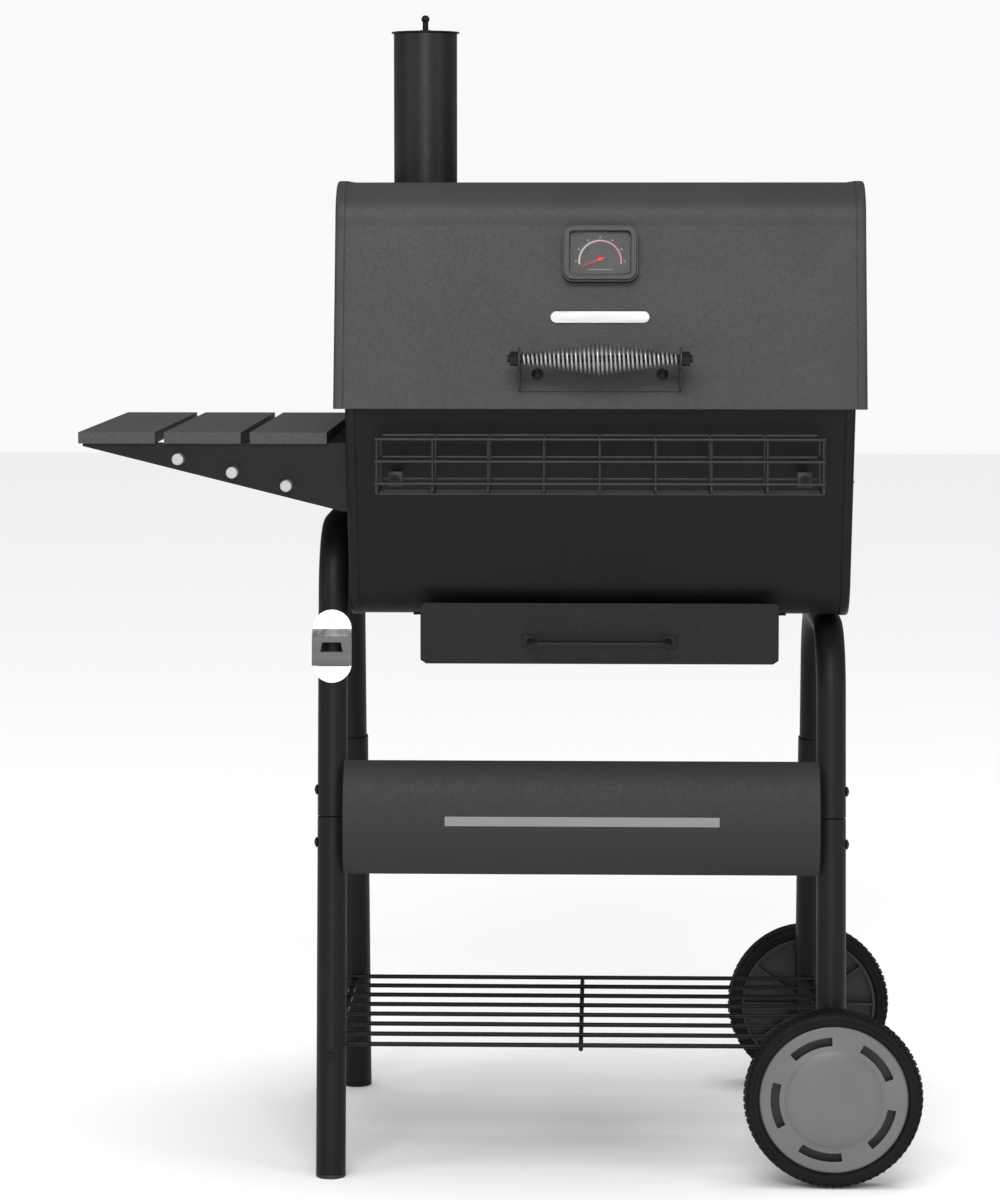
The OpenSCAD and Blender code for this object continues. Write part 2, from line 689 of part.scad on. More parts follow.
// ---- ash drawer -------------------------------------------------------------------------------
drawer_front_y = -(half_d - 52);
drawer_top_z = firebox_floor_z + 16.5;
drawer_half_x = drawer_front_w / 2 - 10;
lip_z = firebox_floor_z - 14;
drawer_floor_z = drawer_top_z - drawer_front_h + 4;
module ash_drawer() {
  y1 = drawer_front_y + drawer_d;
  tab = 4;
  chamfer = 6;
  color(black_paint) placed() {
    // Front plate with rounded top corners and chamfered bottom corners
    translate([0, drawer_front_y, 0]) rotate([90, 0, 0]) linear_extrude(height = end_plate)
      polygon(concat(
        arc(drawer_front_w / 2 - 5, drawer_top_z - 5, 5, 0, 90, 5),
        arc(-drawer_front_w / 2 + 5, drawer_top_z - 5, 5, 90, 180, 5),
        [
          [-drawer_front_w / 2, drawer_top_z - drawer_front_h + tab],
          [-drawer_front_w / 2 + chamfer, drawer_top_z - drawer_front_h],
          [drawer_front_w / 2 - chamfer, drawer_top_z - drawer_front_h],
          [drawer_front_w / 2, drawer_top_z - drawer_front_h + tab]
        ]
      ));
    // Tray with lips that run in the rails
    difference() {
      translate([-drawer_half_x, drawer_front_y - 0.5, drawer_floor_z])
        cube([2 * drawer_half_x, drawer_d, lip_z + 1.5 - drawer_floor_z]);
      translate([-drawer_half_x + sheet, drawer_front_y, drawer_floor_z + sheet])
        cube([2 * (drawer_half_x - sheet), drawer_d - sheet - 0.5, 60]);
    }
    mirrored_x() translate([drawer_half_x - 1, drawer_front_y, lip_z])
      cube([7.5, drawer_d - 0.5, 1.5]);
    // Return flange behind the front plate
    difference() {
      translate([-drawer_front_w / 2 + 2, drawer_front_y - 0.5, drawer_top_z - 8])
        cube([drawer_front_w - 4, 9, 1.6]);
      along_x(-half_w, half_w) polygon(firebox_outline(3, split_z));
    }
  }
}
// Bent rod handle with flattened ends
handle_bend = 10;
module drawer_handle() {
  r = 4;
  half = 73;
  out = 26;
  z = drawer_top_z - 41;
  face_y = drawer_front_y - end_plate;
  color(black_paint) placed() translate([0, face_y, z]) {
    translate([0, -out, 0]) rod_x(r, -half + handle_bend, half - handle_bend);
    mirrored_x() {
      translate([half - handle_bend, -out + handle_bend, 0]) rotate([0, 0, -90])
        rotate_extrude(angle = 90) translate([handle_bend, 0]) circle(r = r);
      translate([half, 0, 0]) rod_y(r, -out + handle_bend, 0);
      translate([half - 5, -2, -7]) cube([14, 2, 14]);
    }
  }
}
module drawer_rails() {
  y0 = drawer_front_y + 1.5;
  y1 = drawer_front_y + drawer_d + 2;
  web_x = drawer_half_x + 8;
  color(black_paint) placed() mirrored_x() {
    translate([web_x, y0 + 30, lip_z - 2.2]) cube([1.6, y1 - y0 - 30, firebox_floor_z - lip_z + 2.2]);
    translate([drawer_half_x + 1.5, y0 + 30, lip_z - 2.2]) cube([8.1, y1 - y0 - 30, 1.6]);
    translate([web_x, y0 + 46, firebox_floor_z - 1.6]) cube([12, y1 - y0 - 110, 1.6]);
    translate([drawer_half_x - 4, y1, lip_z - 2.2]) cube([13.6, 1.6, firebox_floor_z - lip_z + 2.2]);
  }
}

// ---- lid --------------------------------------------------------------------------------------
// Puts a piece on the lid's front, x to the right, y up the panel and z outwards
module on_lid_front(z) {
  translate([0, -lid_y(z), z]) rotate([90 - lid_lean, 0, 0]) children();
}
thermo_z = 983;
grip_z = 869;
handle_bolt_x = 65;
handle_bolt_y = -10.5;
handle_bolt_r = 3;
probe_r = 4;
module lid_shell() {
  x_end = lid_half_w - end_plate;
  color(grey_paint) placed() difference() {
    along_x(-x_end, x_end) difference() {
      polygon(lid_outline(0, lid_z));
      polygon(lid_outline(-sheet, lid_z - 1));
    }
    translate([chimney_x, chimney_y, lid_top_z - 10]) cylinder(r = chimney_r + run_gap, h = 20);
    on_lid_front(thermo_z) translate([0, 0, -5]) cylinder(r = probe_r + run_gap, h = 10);
    on_lid_front(grip_z) for (x = [-handle_bolt_x, handle_bolt_x])
      translate([x, handle_bolt_y, -5]) cylinder(r = handle_bolt_r + run_gap, h = 10);
  }
}
module lid_end() {
  difference() {
    along_x(lid_half_w - end_rim_w, lid_half_w) polygon(lid_outline(flange_out, lid_z));
    along_x(lid_half_w - end_rim_w - 1, lid_half_w - end_plate) polygon(lid_outline(0.02, lid_z - 5));
  }
}
module lid_left_end() { color(grey_paint) placed() mirror([1, 0, 0]) lid_end(); }
module lid_right_end() { color(grey_paint) placed() lid_end(); }

// ---- hinges --------------------------------------------------------------------------------------
hinge_ear = 4;
knuckle_w = 18;
module knuckle_outline(points) {
  translate([hinge_y, hinge_z]) circle(r = knuckle_r);
  polygon(points);
}
module hinge_bracket() {
  ear_x = knuckle_w / 2 + 0.6;
  foot_z = split_z - 62;
  difference() {
    union() {
      for (x = [-ear_x - hinge_ear, ear_x])
        along_x(x, x + hinge_ear) knuckle_outline([
          [hinge_y + knuckle_r, hinge_z], [hinge_y - knuckle_r, hinge_z],
          [firebox_y(split_z - 8) - 4, split_z - 8], [firebox_y(foot_z) - 4, foot_z],
          [firebox_y(foot_z) + 4, foot_z]
        ]);
      along_x(-ear_x - hinge_ear, ear_x + hinge_ear) polygon([
        [firebox_y(split_z - 22) - 4, split_z - 22], [firebox_y(foot_z) - 4, foot_z],
        [firebox_y(foot_z) + 3, foot_z], [firebox_y(split_z - 22) + 3, split_z - 22]
      ]);
    }
    along_x(-40, 40) polygon(firebox_outline(0.02, split_z + 40));
    translate([0, hinge_y, hinge_z]) rod_x(hinge_pin_r + run_gap, -40, 40);
  }
}
module hinge_strap() {
  top_z = lid_z + 60;
  difference() {
    union() {
      along_x(-knuckle_w / 2, knuckle_w / 2) knuckle_outline([
        [hinge_y + knuckle_r, hinge_z], [hinge_y - 3, hinge_z + 3],
        [lid_y(lid_z + 12) - 4, lid_z + 12], [lid_y(top_z) - 4, top_z], [lid_y(top_z) + 3, top_z],
        [lid_y(lid_z + 26) + 3, lid_z + 26]
      ]);
      along_x(-22, 22) polygon([
        [lid_y(lid_z + 26) - 4, lid_z + 26], [lid_y(lid_z + 26) + 3, lid_z + 26],
        [lid_y(top_z) + 3, top_z], [lid_y(top_z) - 4, top_z]
      ]);
    }
    along_x(-40, 40) polygon(lid_outline(0.02, lid_z - 5));
    translate([0, hinge_y, hinge_z]) rod_x(hinge_pin_r + run_gap, -40, 40);
  }
}
module hinge_brackets() {
  color(black_paint) placed() for (x = [-hinge_x, hinge_x]) translate([x, 0, 0]) hinge_bracket();
}
module hinge_straps() {
  color(black_paint) placed() for (x = [-hinge_x, hinge_x]) translate([x, 0, 0]) hinge_strap();
}
module hinge_pins() {
  end_x = knuckle_w / 2 + 0.6 + hinge_ear;
  color(bright_steel) placed() for (x = [-hinge_x, hinge_x])
    translate([x, hinge_y, hinge_z]) {
      rod_x(hinge_pin_r, -end_x - 2, end_x + 2);
      rod_x(hinge_pin_r + 2, -end_x - 2.5, -end_x - 0.1);
      rod_x(hinge_pin_r + 2, end_x + 0.1, end_x + 2.5);
    }
}

// ---- thermometer, handle and badge ----------------------------------------------------------------
module rounded_plate(w, h, r, t) {
  linear_extrude(height = t) polygon([
    for (c = [[1, 1, 0], [-1, 1, 90], [-1, -1, 180], [1, -1, 270]], i = [0:6])
      [c[0] * (w / 2 - r) + r * cos(c[2] + 15 * i), c[1] * (h / 2 - r) + r * sin(c[2] + 15 * i)]
  ]);
}
case_w = 80;
case_h = 61;
case_t = 12;
window_w = 64;
window_h = 47;
module thermometer_case() {
  color(black_plastic) placed() on_lid_front(thermo_z) {
    difference() {
      union() {
        rounded_plate(case_w, case_h, 12, case_t - 3);
        rounded_plate(case_w - 4, case_h - 4, 10, case_t);
      }
      translate([0, 0, 5]) rounded_plate(window_w, window_h, 5, 20);
      translate([0, 0, -1]) cylinder(r = probe_r + run_gap, h = 8);
    }
    // Probe and its nut inside the lid
    translate([0, 0, -62]) cylinder(r = probe_r, h = 66.8);
    translate([0, 0, -sheet - 6]) difference() {
      cylinder(r = 9, h = 6, $fn = 6);
      translate([0, 0, -1]) cylinder(r = probe_r + run_gap, h = 8);
    }
  }
}
module thermometer_dial() {
  color([0.3, 0.3, 0.3]) placed() on_lid_front(thermo_z) translate([0, 0, 5]) difference() {
    rounded_plate(window_w - 0.4, window_h - 0.4, 5, 1);
    translate([0, dial_pivot_y, -1]) cylinder(r = 1.2 + run_gap, h = 4);
  }
}
dial_pivot_y = -6;
needle_l = 20;
needle_rest_a = 203;
module thermometer_needle() {
  color([0.7, 0.1, 0.08]) placed() on_lid_front(thermo_z) translate([0, dial_pivot_y, 6.6]) {
    cylinder(r = 2.2, h = 0.8);
    translate([0, 0, -1.3]) cylinder(r = 1.2, h = 1.5);
    rotate([0, 0, needle_rest_a]) linear_extrude(height = 0.6)
      polygon([[-5, -0.8], [needle_l, -0.25], [needle_l, 0.25], [-5, 0.8]]);
  }
}
module thermometer_glass() {
  color([0.8, 0.85, 0.88, 0.35]) placed() on_lid_front(thermo_z) translate([0, 0, 8.2])
    rounded_plate(window_w - 0.4, window_h - 0.4, 5, 1.5);
}
badge_w = 104;
module lid_badge() {
  color(bright_steel) placed() on_lid_front(thermo_z - 65) rounded_plate(badge_w, 13, 6.4, 2);
}
bracket_half = 84.5;
grip_out = 35;
rod_r = 4;
module handle_bracket() {
  ear_t = 2;
  color(black_paint) placed() on_lid_front(grip_z) difference() {
    union() {
      translate([-bracket_half, -28.5, 0]) cube([2 * bracket_half, 31, 2]);
      mirrored_x() translate([bracket_half - ear_t, 0, 0]) rotate([90, 0, 90])
        linear_extrude(height = ear_t) {
          polygon([[-28.5, 0], [2.5, 0], [12, grip_out - 8], [12, grip_out], [-12, grip_out], [-28.5, 12]]);
          translate([0, grip_out]) circle(r = 12);
        }
    }
    translate([0, 0, grip_out]) rod_x(rod_r + run_gap, -bracket_half - 5, bracket_half + 5);
    for (x = [-handle_bolt_x, handle_bolt_x])
      translate([x, handle_bolt_y, -1]) cylinder(r = handle_bolt_r + run_gap, h = 5);
  }
}
module handle_rod() {
  nut_r = 8;
  color(black_paint) placed() on_lid_front(grip_z) translate([0, 0, grip_out]) {
    rod_x(rod_r, -bracket_half - 11, bracket_half + 11);
    mirrored_x() translate([bracket_half + 0.3, 0, 0]) rod_x(nut_r, 0, 8, $fn = 6);
  }
}
// Barrel-shaped sleeve that the coil of the grip fills
module spring_grip() {
  end_r = 6.6;
  mid_r = 17.2;
  half = bracket_half - 2.6;
  bore = rod_r + 0.4;
  function coil_r(t) = end_r + (mid_r - end_r) * (0.5 + 0.5 * cos(180 * t));
  color(bright_steel) placed() on_lid_front(grip_z) translate([0, 0, grip_out])
    rotate([0, 90, 0]) rotate_extrude() polygon(concat(
      [for (i = [-12:12]) [coil_r(i / 12), half * i / 12]],
      [for (i = [12:-1:-12]) [max(bore, coil_r(i / 12) - 3), half * i / 12]]
    ));
}
module handle_bolts() {
  color(black_paint) placed() on_lid_front(grip_z) for (x = [-handle_bolt_x, handle_bolt_x])
    translate([x, handle_bolt_y, 0]) {
      translate([0, 0, -8]) cylinder(r = handle_bolt_r, h = 11);
      translate([0, 0, 2]) intersection() {
        cylinder(r = 6, h = 3.6);
        translate([0, 0, -5]) sphere(r = 8.6);
      }
      translate([0, 0, -sheet - 5]) difference() {
        cylinder(r = 5.5, h = 5, $fn = 6);
        translate([0, 0, -1]) cylinder(r = handle_bolt_r - 0.05, h = 7);
      }
    }
}

// ---- chimney ----------------------------------------------------------------------------------------
cap_z = lid_top_z + chimney_h;
bridge_z = cap_z - 34;
module chimney_tube() {
  color(black_paint) placed() translate([chimney_x, chimney_y, 0]) difference() {
    union() {
      translate([0, 0, lid_top_z - 9]) cylinder(r = chimney_r, h = chimney_h + 9, $fn = 72);
      translate([0, 0, lid_top_z]) cylinder(r = chimney_r + 4, h = 2, $fn = 72);
    }
    translate([0, 0, lid_top_z - 20]) cylinder(r = chimney_r - sheet, h = chimney_h + 40, $fn = 72);
  }
}
// Cross strip inside the tube that guides the cap's stem
module chimney_bridge() {
  color(black_paint) placed() translate([chimney_x, chimney_y, bridge_z]) difference() {
    intersection() {
      translate([-chimney_r, -9, 0]) cube([2 * chimney_r, 18, 3]);
      translate([0, 0, -1]) cylinder(r = chimney_r - sheet - 0.02, h = 6, $fn = 72);
    }
    translate([0, 0, -1]) cylinder(r = stem_r + run_gap, h = 6);
  }
}
module chimney_cap() {
  color(black_paint) placed() translate([chimney_x, chimney_y, cap_z]) difference() {
    translate([0, 0, 0.3]) cylinder(r = chimney_r + 2.6, h = 1.6, $fn = 72);
    translate([0, 0, -1]) cylinder(r = stem_r + run_gap, h = 5);
  }
}
module chimney_knob() {
  color(black_paint) placed() translate([chimney_x, chimney_y, cap_z]) {
    translate([0, 0, -66]) cylinder(r = stem_r, h = 78);
    translate([0, 0, 1.95]) cylinder(r = 6, h = 2.2, $fn = 6);
    translate([0, 0, -3.2]) cylinder(r = 6, h = 3.4, $fn = 6);
    translate([0, 0, 11]) rotate_extrude() polygon(concat(
      [[0, 0], [3, 0]], arc(0, 5, 4.6, -45, 90, 8)
    ));
  }
}

// ---- basket ------------------------------------------------------------------------------------------
basket_ribs = 9;
basket_bottom_z = basket_top_z - 2.4 * basket_step;
module wire_basket() {
  half = basket_w / 2;
  r = basket_wire_r;
  rib_step = (basket_w - 4) / (basket_ribs - 1);
  color(black_paint) placed() difference() {
    union() {
      for (y = [basket_front_y, basket_back_y], i = [0:2])
        translate([0, y, basket_top_z - i * basket_step]) rod_x(r, -half, half, $fn = 8);
      // Each rib is one wire bent down the back, across and up the front
      for (i = [0:basket_ribs - 1]) translate([-half + 2 + i * rib_step, 0, 0]) {
        for (y = [basket_front_y + 1.6 * r, basket_back_y - 1.6 * r])
          translate([0, y, basket_bottom_z]) cylinder(r = r, h = basket_top_z - basket_bottom_z, $fn = 8);
        translate([0, 0, basket_bottom_z])
          rod_y(r, basket_front_y + 0.6 * r, basket_back_y - 0.6 * r, $fn = 8);
      }
      // Level wires across the two ends and along the floor
      for (x = [-half + r, half - r], z = [basket_top_z, basket_top_z - basket_step])
        translate([x, 0, z]) rod_y(r, basket_front_y, basket_back_y, $fn = 8);
      for (y = [basket_front_y + 18, (basket_front_y + basket_back_y) / 2, basket_back_y - 18])
        translate([0, y, basket_bottom_z - 1.6 * r]) rod_x(r, -half, half, $fn = 8);
      // Welded tabs, each with a sleeve that reaches back to the firebox
      for (x = [-basket_tab_x, basket_tab_x]) {
        translate([x - 8, basket_back_y - basket_tab_t / 2, basket_tab_z - 8])
          cube([16, basket_tab_t, 16]);
        translate([x, 0, basket_tab_z]) rod_y(5, basket_back_y, -firebox_y(basket_tab_z) + 5);
      }
    }
    for (x = [-basket_tab_x, basket_tab_x])
      translate([x, 0, basket_tab_z]) rod_y(screw_r + run_gap, basket_back_y - 9, 0);
    along_x(-half_w, half_w) polygon(firebox_outline(0.02, split_z + 20));
  }
}
basket_tab_x = 213;
basket_tab_z = 750;
basket_tab_t = 2 * basket_wire_r + 0.2;

// ---- screws shared by the rack, basket and shelf ------------------------------------------------------
screw_r = 2.5;
screw_head_r = 4.6;
// Stand-off that clears a flat head from a leg that leans
screw_seat = screw_head_r * tan(splay) + 0.1;
rack_screw_l = 10;
// Pan-head screw, its head towards -Y
module pan_screw(l) {
  rod_y(screw_r, -0.5, l);
  difference() {
    rod_y(screw_head_r, -2.6, 0);
    translate([-3.4, -3, -0.5]) cube([6.8, 1.4, 1]);
    translate([-0.5, -3, -3.4]) cube([1, 1.4, 6.8]);
  }
}
module small_screws() {
  color(black_paint) placed() {
    // Through each leg into the rack's side bars
    for (x = [left_x, right_x]) translate([x, 0, rack_z]) {
      translate([0, -leg_y(rack_z) - tube_r / cos(splay) - screw_seat, 0])
        pan_screw(2 * tube_r + rack_screw_l);
      mirror([0, 1, 0]) translate([0, -leg_y(rack_z) - rear_tube_r / cos(splay) - screw_seat, 0])
        pan_screw(2 * rear_tube_r + rack_screw_l);
    }
    for (x = [-basket_tab_x, basket_tab_x])
      translate([x, basket_back_y - basket_tab_t / 2, basket_tab_z])
        pan_screw(-basket_back_y - firebox_y(basket_tab_z) + 6);
    shelf_end_screws() rotate([0, 0, -90]) translate([0, -bracket_t, 0]) pan_screw(bracket_t + 8);
    slat_screws() translate([0, 0, -bracket_t]) rotate([90, 0, 0]) pan_screw(bracket_t + 7);
  }
}

// Places of the screws that hold the shelf brackets to the firebox end
module shelf_end_screws() {
  for (y = [-1, 1] * (bracket_y - 10), z = [bracket_low_z + 30, shelf_z - slat_t - 12])
    translate([-half_w, y, z]) children();
}
// Places of the screws that hold the slats from below
module slat_screws() {
  for (i = [0:2], y = [-1, 1] * (bracket_y - 10))
    translate([slat_inner_x - slat_w / 2 - i * slat_pitch, y, shelf_z - slat_t]) children();
}

// ---- side shelf ---------------------------------------------------------------------------------------
bracket_y = half_d - 39;
bracket_tip_x = shelf_left_x + 4;
bracket_low_z = 712.5;
module slat(i) {
  difference() {
    translate([slat_inner_x - slat_w - i * slat_pitch, -slat_l / 2 - 2, shelf_z - slat_t])
      cube([slat_w, slat_l, slat_t]);
    slat_screws() translate([0, 0, -1]) cylinder(r = screw_r + run_gap, h = 9);
  }
}
module shelf_slat_inner() { color(grey_paint) placed() slat(0); }
module shelf_slat_middle() { color(grey_paint) placed() slat(1); }
module shelf_slat_outer() { color(grey_paint) placed() slat(2); }
// Triangular plate with a top flange under the slats and an end flange on the firebox
module shelf_bracket() {
  top_z = shelf_z - slat_t;
  translate([0, -bracket_y + bracket_t, 0]) rotate([90, 0, 0]) linear_extrude(height = bracket_t)
    polygon([
      [bracket_tip_x, top_z], [-half_w, top_z], [-half_w, bracket_low_z],
      [-half_w - 6, bracket_low_z], [bracket_tip_x, top_z - 3]
    ]);
  translate([bracket_tip_x, -bracket_y, top_z - bracket_t])
    cube([-half_w - bracket_tip_x, 20, bracket_t]);
  translate([-half_w - bracket_t, -bracket_y, bracket_low_z + 22])
    cube([bracket_t, 20, top_z - bracket_low_z - 22]);
}
module shelf_brackets() {
  color(black_paint) placed() difference() {
    mirrored_y() shelf_bracket();
    for (i = [0:2]) translate([peg_x(i), 0, peg_z(i)])
      rod_y(peg_r * 0.5 + run_gap, -bracket_y - 5, -bracket_y + 5);
    shelf_end_screws() rod_x(screw_r + run_gap, -5, 1);
    slat_screws() translate([0, 0, -5]) cylinder(r = screw_r + run_gap, h = 6);
  }
}
function peg_x(i) = -387 + 57 * (i - 1);
function peg_z(i) = 754.3 - 14 * (i - 1);
// Plain pegs with a reduced end held in the front bracket
module tool_pegs() {
  color(bright_steel) placed() for (i = [0:2]) translate([peg_x(i), -bracket_y, peg_z(i)]) {
    rod_y(peg_r, -peg_l, 0);
    rod_y(peg_r * 0.5, -1, bracket_t + 2);
    translate([0, bracket_t, 0]) rod_y(peg_r * 0.8, 0, 2);
  }
}

// ---- bottle opener -------------------------------------------------------------------------------------
opener_z = 563;
opener_w = 42;
opener_h = 78;
opener_t = 2;
opener_screw_z = 29;
module opener_place() {
  translate([left_x, -leg_y(opener_z), opener_z]) rotate([-splay, 0, 0])
    translate([0, -tube_r - 0.05, 0]) children();
}
// Plate with round ends and a folded hood, open below, whose mouth takes the cap
module bottle_opener() {
  hood_out = 9;
  hood_top = 21;
  fold = 10;
  end_z = (opener_h - opener_w) / 2;
  color(bright_steel) placed() opener_place() difference() {
    union() {
      for (z = [-end_z, end_z]) translate([0, 0, z]) rod_y(opener_w / 2, -opener_t, 0);
      translate([-opener_w / 2, -opener_t, -end_z]) cube([opener_w, opener_t, 2 * end_z]);
      along_x(-opener_w / 2, opener_w / 2)
        polygon([[0, hood_top], [-hood_out, fold], [-hood_out, -hood_top], [0, -hood_top]]);
    }
    along_x(-opener_w / 2 + opener_t, opener_w / 2 - opener_t) polygon([
      [-opener_t, hood_top - 4], [-hood_out + opener_t, fold],
      [-hood_out + opener_t, -hood_top - 1], [-opener_t, -hood_top - 1]
    ]);
    translate([0, -hood_out / 2, 0]) rotate([90, 0, 0]) linear_extrude(height = hood_out)
      polygon([[-10, 4], [10, 4], [12, -6], [-12, -6]]);
    for (z = [-opener_screw_z, opener_screw_z])
      translate([0, 0, z]) rod_y(screw_r + run_gap, -opener_t - 1, 1);
  }
}
module opener_screws() {
  color(bright_steel) placed() opener_place() for (z = [-opener_screw_z, opener_screw_z])
    translate([0, -opener_t, z]) pan_screw(6);
}

left_leg_frame();
right_leg_frame();
front_left_leg();
rear_left_leg();
front_right_leg();
rear_right_leg();
leg_caps();
leg_bolts();
front_panel();
rear_brace();
bottom_rack();
axle();
axle_nuts();
front_tyre();
front_rim();
front_hub_cap();
rear_tyre();
rear_rim();
rear_hub_cap();
firebox_shell();
firebox_left_end();
firebox_right_end();
frame_fixings();
charcoal_grate();
cooking_grate_left();
cooking_grate_right();
grate_rests();
warming_rack();
warming_rack_legs();
drawer_rails();
hinge_brackets();
hinge_pins();
lid_shell();
lid_left_end();
lid_right_end();
hinge_straps();
lid_badge();
thermometer_case();
thermometer_dial();
thermometer_glass();
thermometer_needle();
handle_bracket();
handle_rod();
spring_grip();
handle_bolts();
chimney_tube();
chimney_bridge();
chimney_cap();
chimney_knob();
ash_drawer();
drawer_handle();
wire_basket();
small_screws();
shelf_slat_outer();
shelf_slat_middle();
shelf_slat_inner();
shelf_brackets();
tool_pegs();
bottle_opener();
opener_screws();
vent_shutter();
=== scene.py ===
"""Looks for a barrel charcoal grill on a wheeled cart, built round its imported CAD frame."""

from math import asin, cos, degrees, pi, radians, sin, tan

import bmesh
import bpy
from mathutils import Euler, Matrix, Vector


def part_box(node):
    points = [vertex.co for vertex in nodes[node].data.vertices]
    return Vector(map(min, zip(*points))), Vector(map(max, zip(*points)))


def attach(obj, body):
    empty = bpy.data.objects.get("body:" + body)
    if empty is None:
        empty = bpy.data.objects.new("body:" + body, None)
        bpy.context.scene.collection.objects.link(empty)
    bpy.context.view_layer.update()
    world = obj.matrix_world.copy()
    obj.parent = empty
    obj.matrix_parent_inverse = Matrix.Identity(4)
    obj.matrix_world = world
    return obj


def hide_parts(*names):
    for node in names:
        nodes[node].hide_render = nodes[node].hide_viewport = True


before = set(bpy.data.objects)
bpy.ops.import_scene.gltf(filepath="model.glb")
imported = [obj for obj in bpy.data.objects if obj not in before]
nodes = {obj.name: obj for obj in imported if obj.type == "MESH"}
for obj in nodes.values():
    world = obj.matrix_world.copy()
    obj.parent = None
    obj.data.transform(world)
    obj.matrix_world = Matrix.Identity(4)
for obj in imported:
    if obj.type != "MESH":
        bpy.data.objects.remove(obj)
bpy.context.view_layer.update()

scene = bpy.context.scene

# ---- Camera and lights -----------------------------------------------------------------------
# The grill stands on a plain pale floor in soft studio light, seen from the front at
# about the height of the lid's top with a long lens.
low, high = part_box("firebox_shell")
MIDDLE_X = (low.x + high.x) / 2
MIDDLE_Y = (low.y + high.y) / 2

EYE_DISTANCE = 4.010
EYE_HEIGHT = 1.0167
EYE_TILT = radians(4.5)
EYE_TURN = radians(1.58)
LENS = 108.7
FRAME_SHIFT = -0.077

camera = bpy.data.objects.new("camera", bpy.data.cameras.new("camera"))
scene.collection.objects.link(camera)
camera.location = (MIDDLE_X, MIDDLE_Y - EYE_DISTANCE, EYE_HEIGHT)
camera.rotation_euler = (pi / 2 - EYE_TILT, 0, EYE_TURN)
camera.data.sensor_width = 36
camera.data.lens = LENS
camera.data.shift_y = FRAME_SHIFT
scene.camera = camera
scene.view_settings.view_transform = "Standard"


def studio_light(name, place, aim, size, power):
    lamp = bpy.data.lights.new(name, "AREA")
    lamp.shape = "RECTANGLE"
    lamp.size, lamp.size_y = size
    lamp.energy = power
    holder = bpy.data.objects.new(name, lamp)
    scene.collection.objects.link(holder)
    holder.visible_camera = False
    holder.location = place
    holder.rotation_euler = (Vector(aim) - Vector(place)).to_track_quat("-Z", "Y").to_euler()


studio_light("front_light", (-0.3, -4.2, 3.9), (0, 0, 0.8), (3.4, 1.5), 150)
studio_light("strip_light", (MIDDLE_X, -4.4, 1.3), (MIDDLE_X, 0, 0.9), (0.5, 2.2), 46)
studio_light("right_light", (3.4, -2.4, 2.2), (0, 0, 0.7), (1.2, 2.2), 25)
studio_light("left_light", (-3.4, -2.0, 2.4), (0, 0, 0.7), (1.2, 2.2), 20)

sky = bpy.data.lights.new("overhead_light", "SUN")
sky.energy = 2.6
sky.angle = radians(50)
overhead = bpy.data.objects.new("overhead_light", sky)
scene.collection.objects.link(overhead)
overhead.visible_glossy = False

# The room is white where it shows, and dimmer in what it reflects and lights
world = bpy.data.worlds.new("studio")
world.use_nodes = True
room = world.node_tree
dim = room.nodes["Background"]
dim.inputs["Color"].default_value = (1, 1, 1, 1)
dim.inputs["Strength"].default_value = 0.22
white = room.nodes.new("ShaderNodeBackground")
white.inputs["Color"].default_value = (1, 1, 1, 1)
white.inputs["Strength"].default_value = 0.95
seen = room.nodes.new("ShaderNodeLightPath")
either = room.nodes.new("ShaderNodeMixShader")
room.links.new(seen.outputs["Is Camera Ray"], either.inputs[0])
room.links.new(dim.outputs[0], either.inputs[1])
room.links.new(white.outputs[0], either.inputs[2])
room.links.new(either.outputs[0], room.nodes["World Output"].inputs["Surface"])
scene.world = world


# ---- Leg frames and lower legs ---------------------------------------------------------------
# Two inverted U frames of bent steel tube, one at each end of the cart, standing in
# straight lower legs. The front joints are flush, and the rear legs sleeve over the frame.
TUBE_R = 0.0159
REAR_TUBE_R = 0.0175
BEND_R = 0.075
SPLAY = radians(6.2)
FOOT_Y = 0.208
FRONT_JOINT_Z = 0.382
REAR_JOINT_Z = 0.423


def start_material(name, colour, roughness, metallic=0.0):
    """A new material with its shader set: returns the material, its nodes' tree and the shader."""
    made = bpy.data.materials.new(name)
    made.use_nodes = True
    shader = made.node_tree.nodes["Principled BSDF"]
    shader.inputs["Base Color"].default_value = (*colour, 1)
    shader.inputs["Roughness"].default_value = roughness
    shader.inputs["Metallic"].default_value = metallic
    return made, made.node_tree, shader


def add(tree, kind, values=None, **settings):
    """Adds a node. Values are sockets to link or constants to set, by socket name or number."""
    node = tree.nodes.new(kind)
    for key, value in settings.items():
        setattr(node, key, value)
    for key, value in (values or {}).items():
        socket = node.inputs[key]
        if isinstance(value, bpy.types.NodeSocket):
            tree.links.new(value, socket)
        else:
            socket.default_value = value
    return node


def own_position(tree):
    return add(tree, "ShaderNodeTexCoord").outputs["Object"]


def noise(tree, scale, detail=3.0):
    return add(tree, "ShaderNodeTexNoise",
               {"Vector": own_position(tree), "Scale": scale, "Detail": detail}).outputs["Fac"]


def ramp(tree, value, low_value, high_value, from_low=0.3, from_high=0.7):
    return add(tree, "ShaderNodeMapRange",
               {"Value": value, "From Min": from_low, "From Max": from_high,
                "To Min": low_value, "To Max": high_value}).outputs["Result"]


def mixed(tree, factor, colour_a, colour_b):
    mix = add(tree, "ShaderNodeMix", data_type="RGBA")
    tree.links.new(factor, mix.inputs["Factor"])
    mix.inputs[6].default_value = (*colour_a, 1)
    mix.inputs[7].default_value = (*colour_b, 1)
    return mix.outputs[2]


def bumped(tree, shader, height, strength, distance):
    bump = add(tree, "ShaderNodeBump", {"Height": height, "Strength": strength, "Distance": distance})
    tree.links.new(bump.outputs["Normal"], shader.inputs["Normal"])


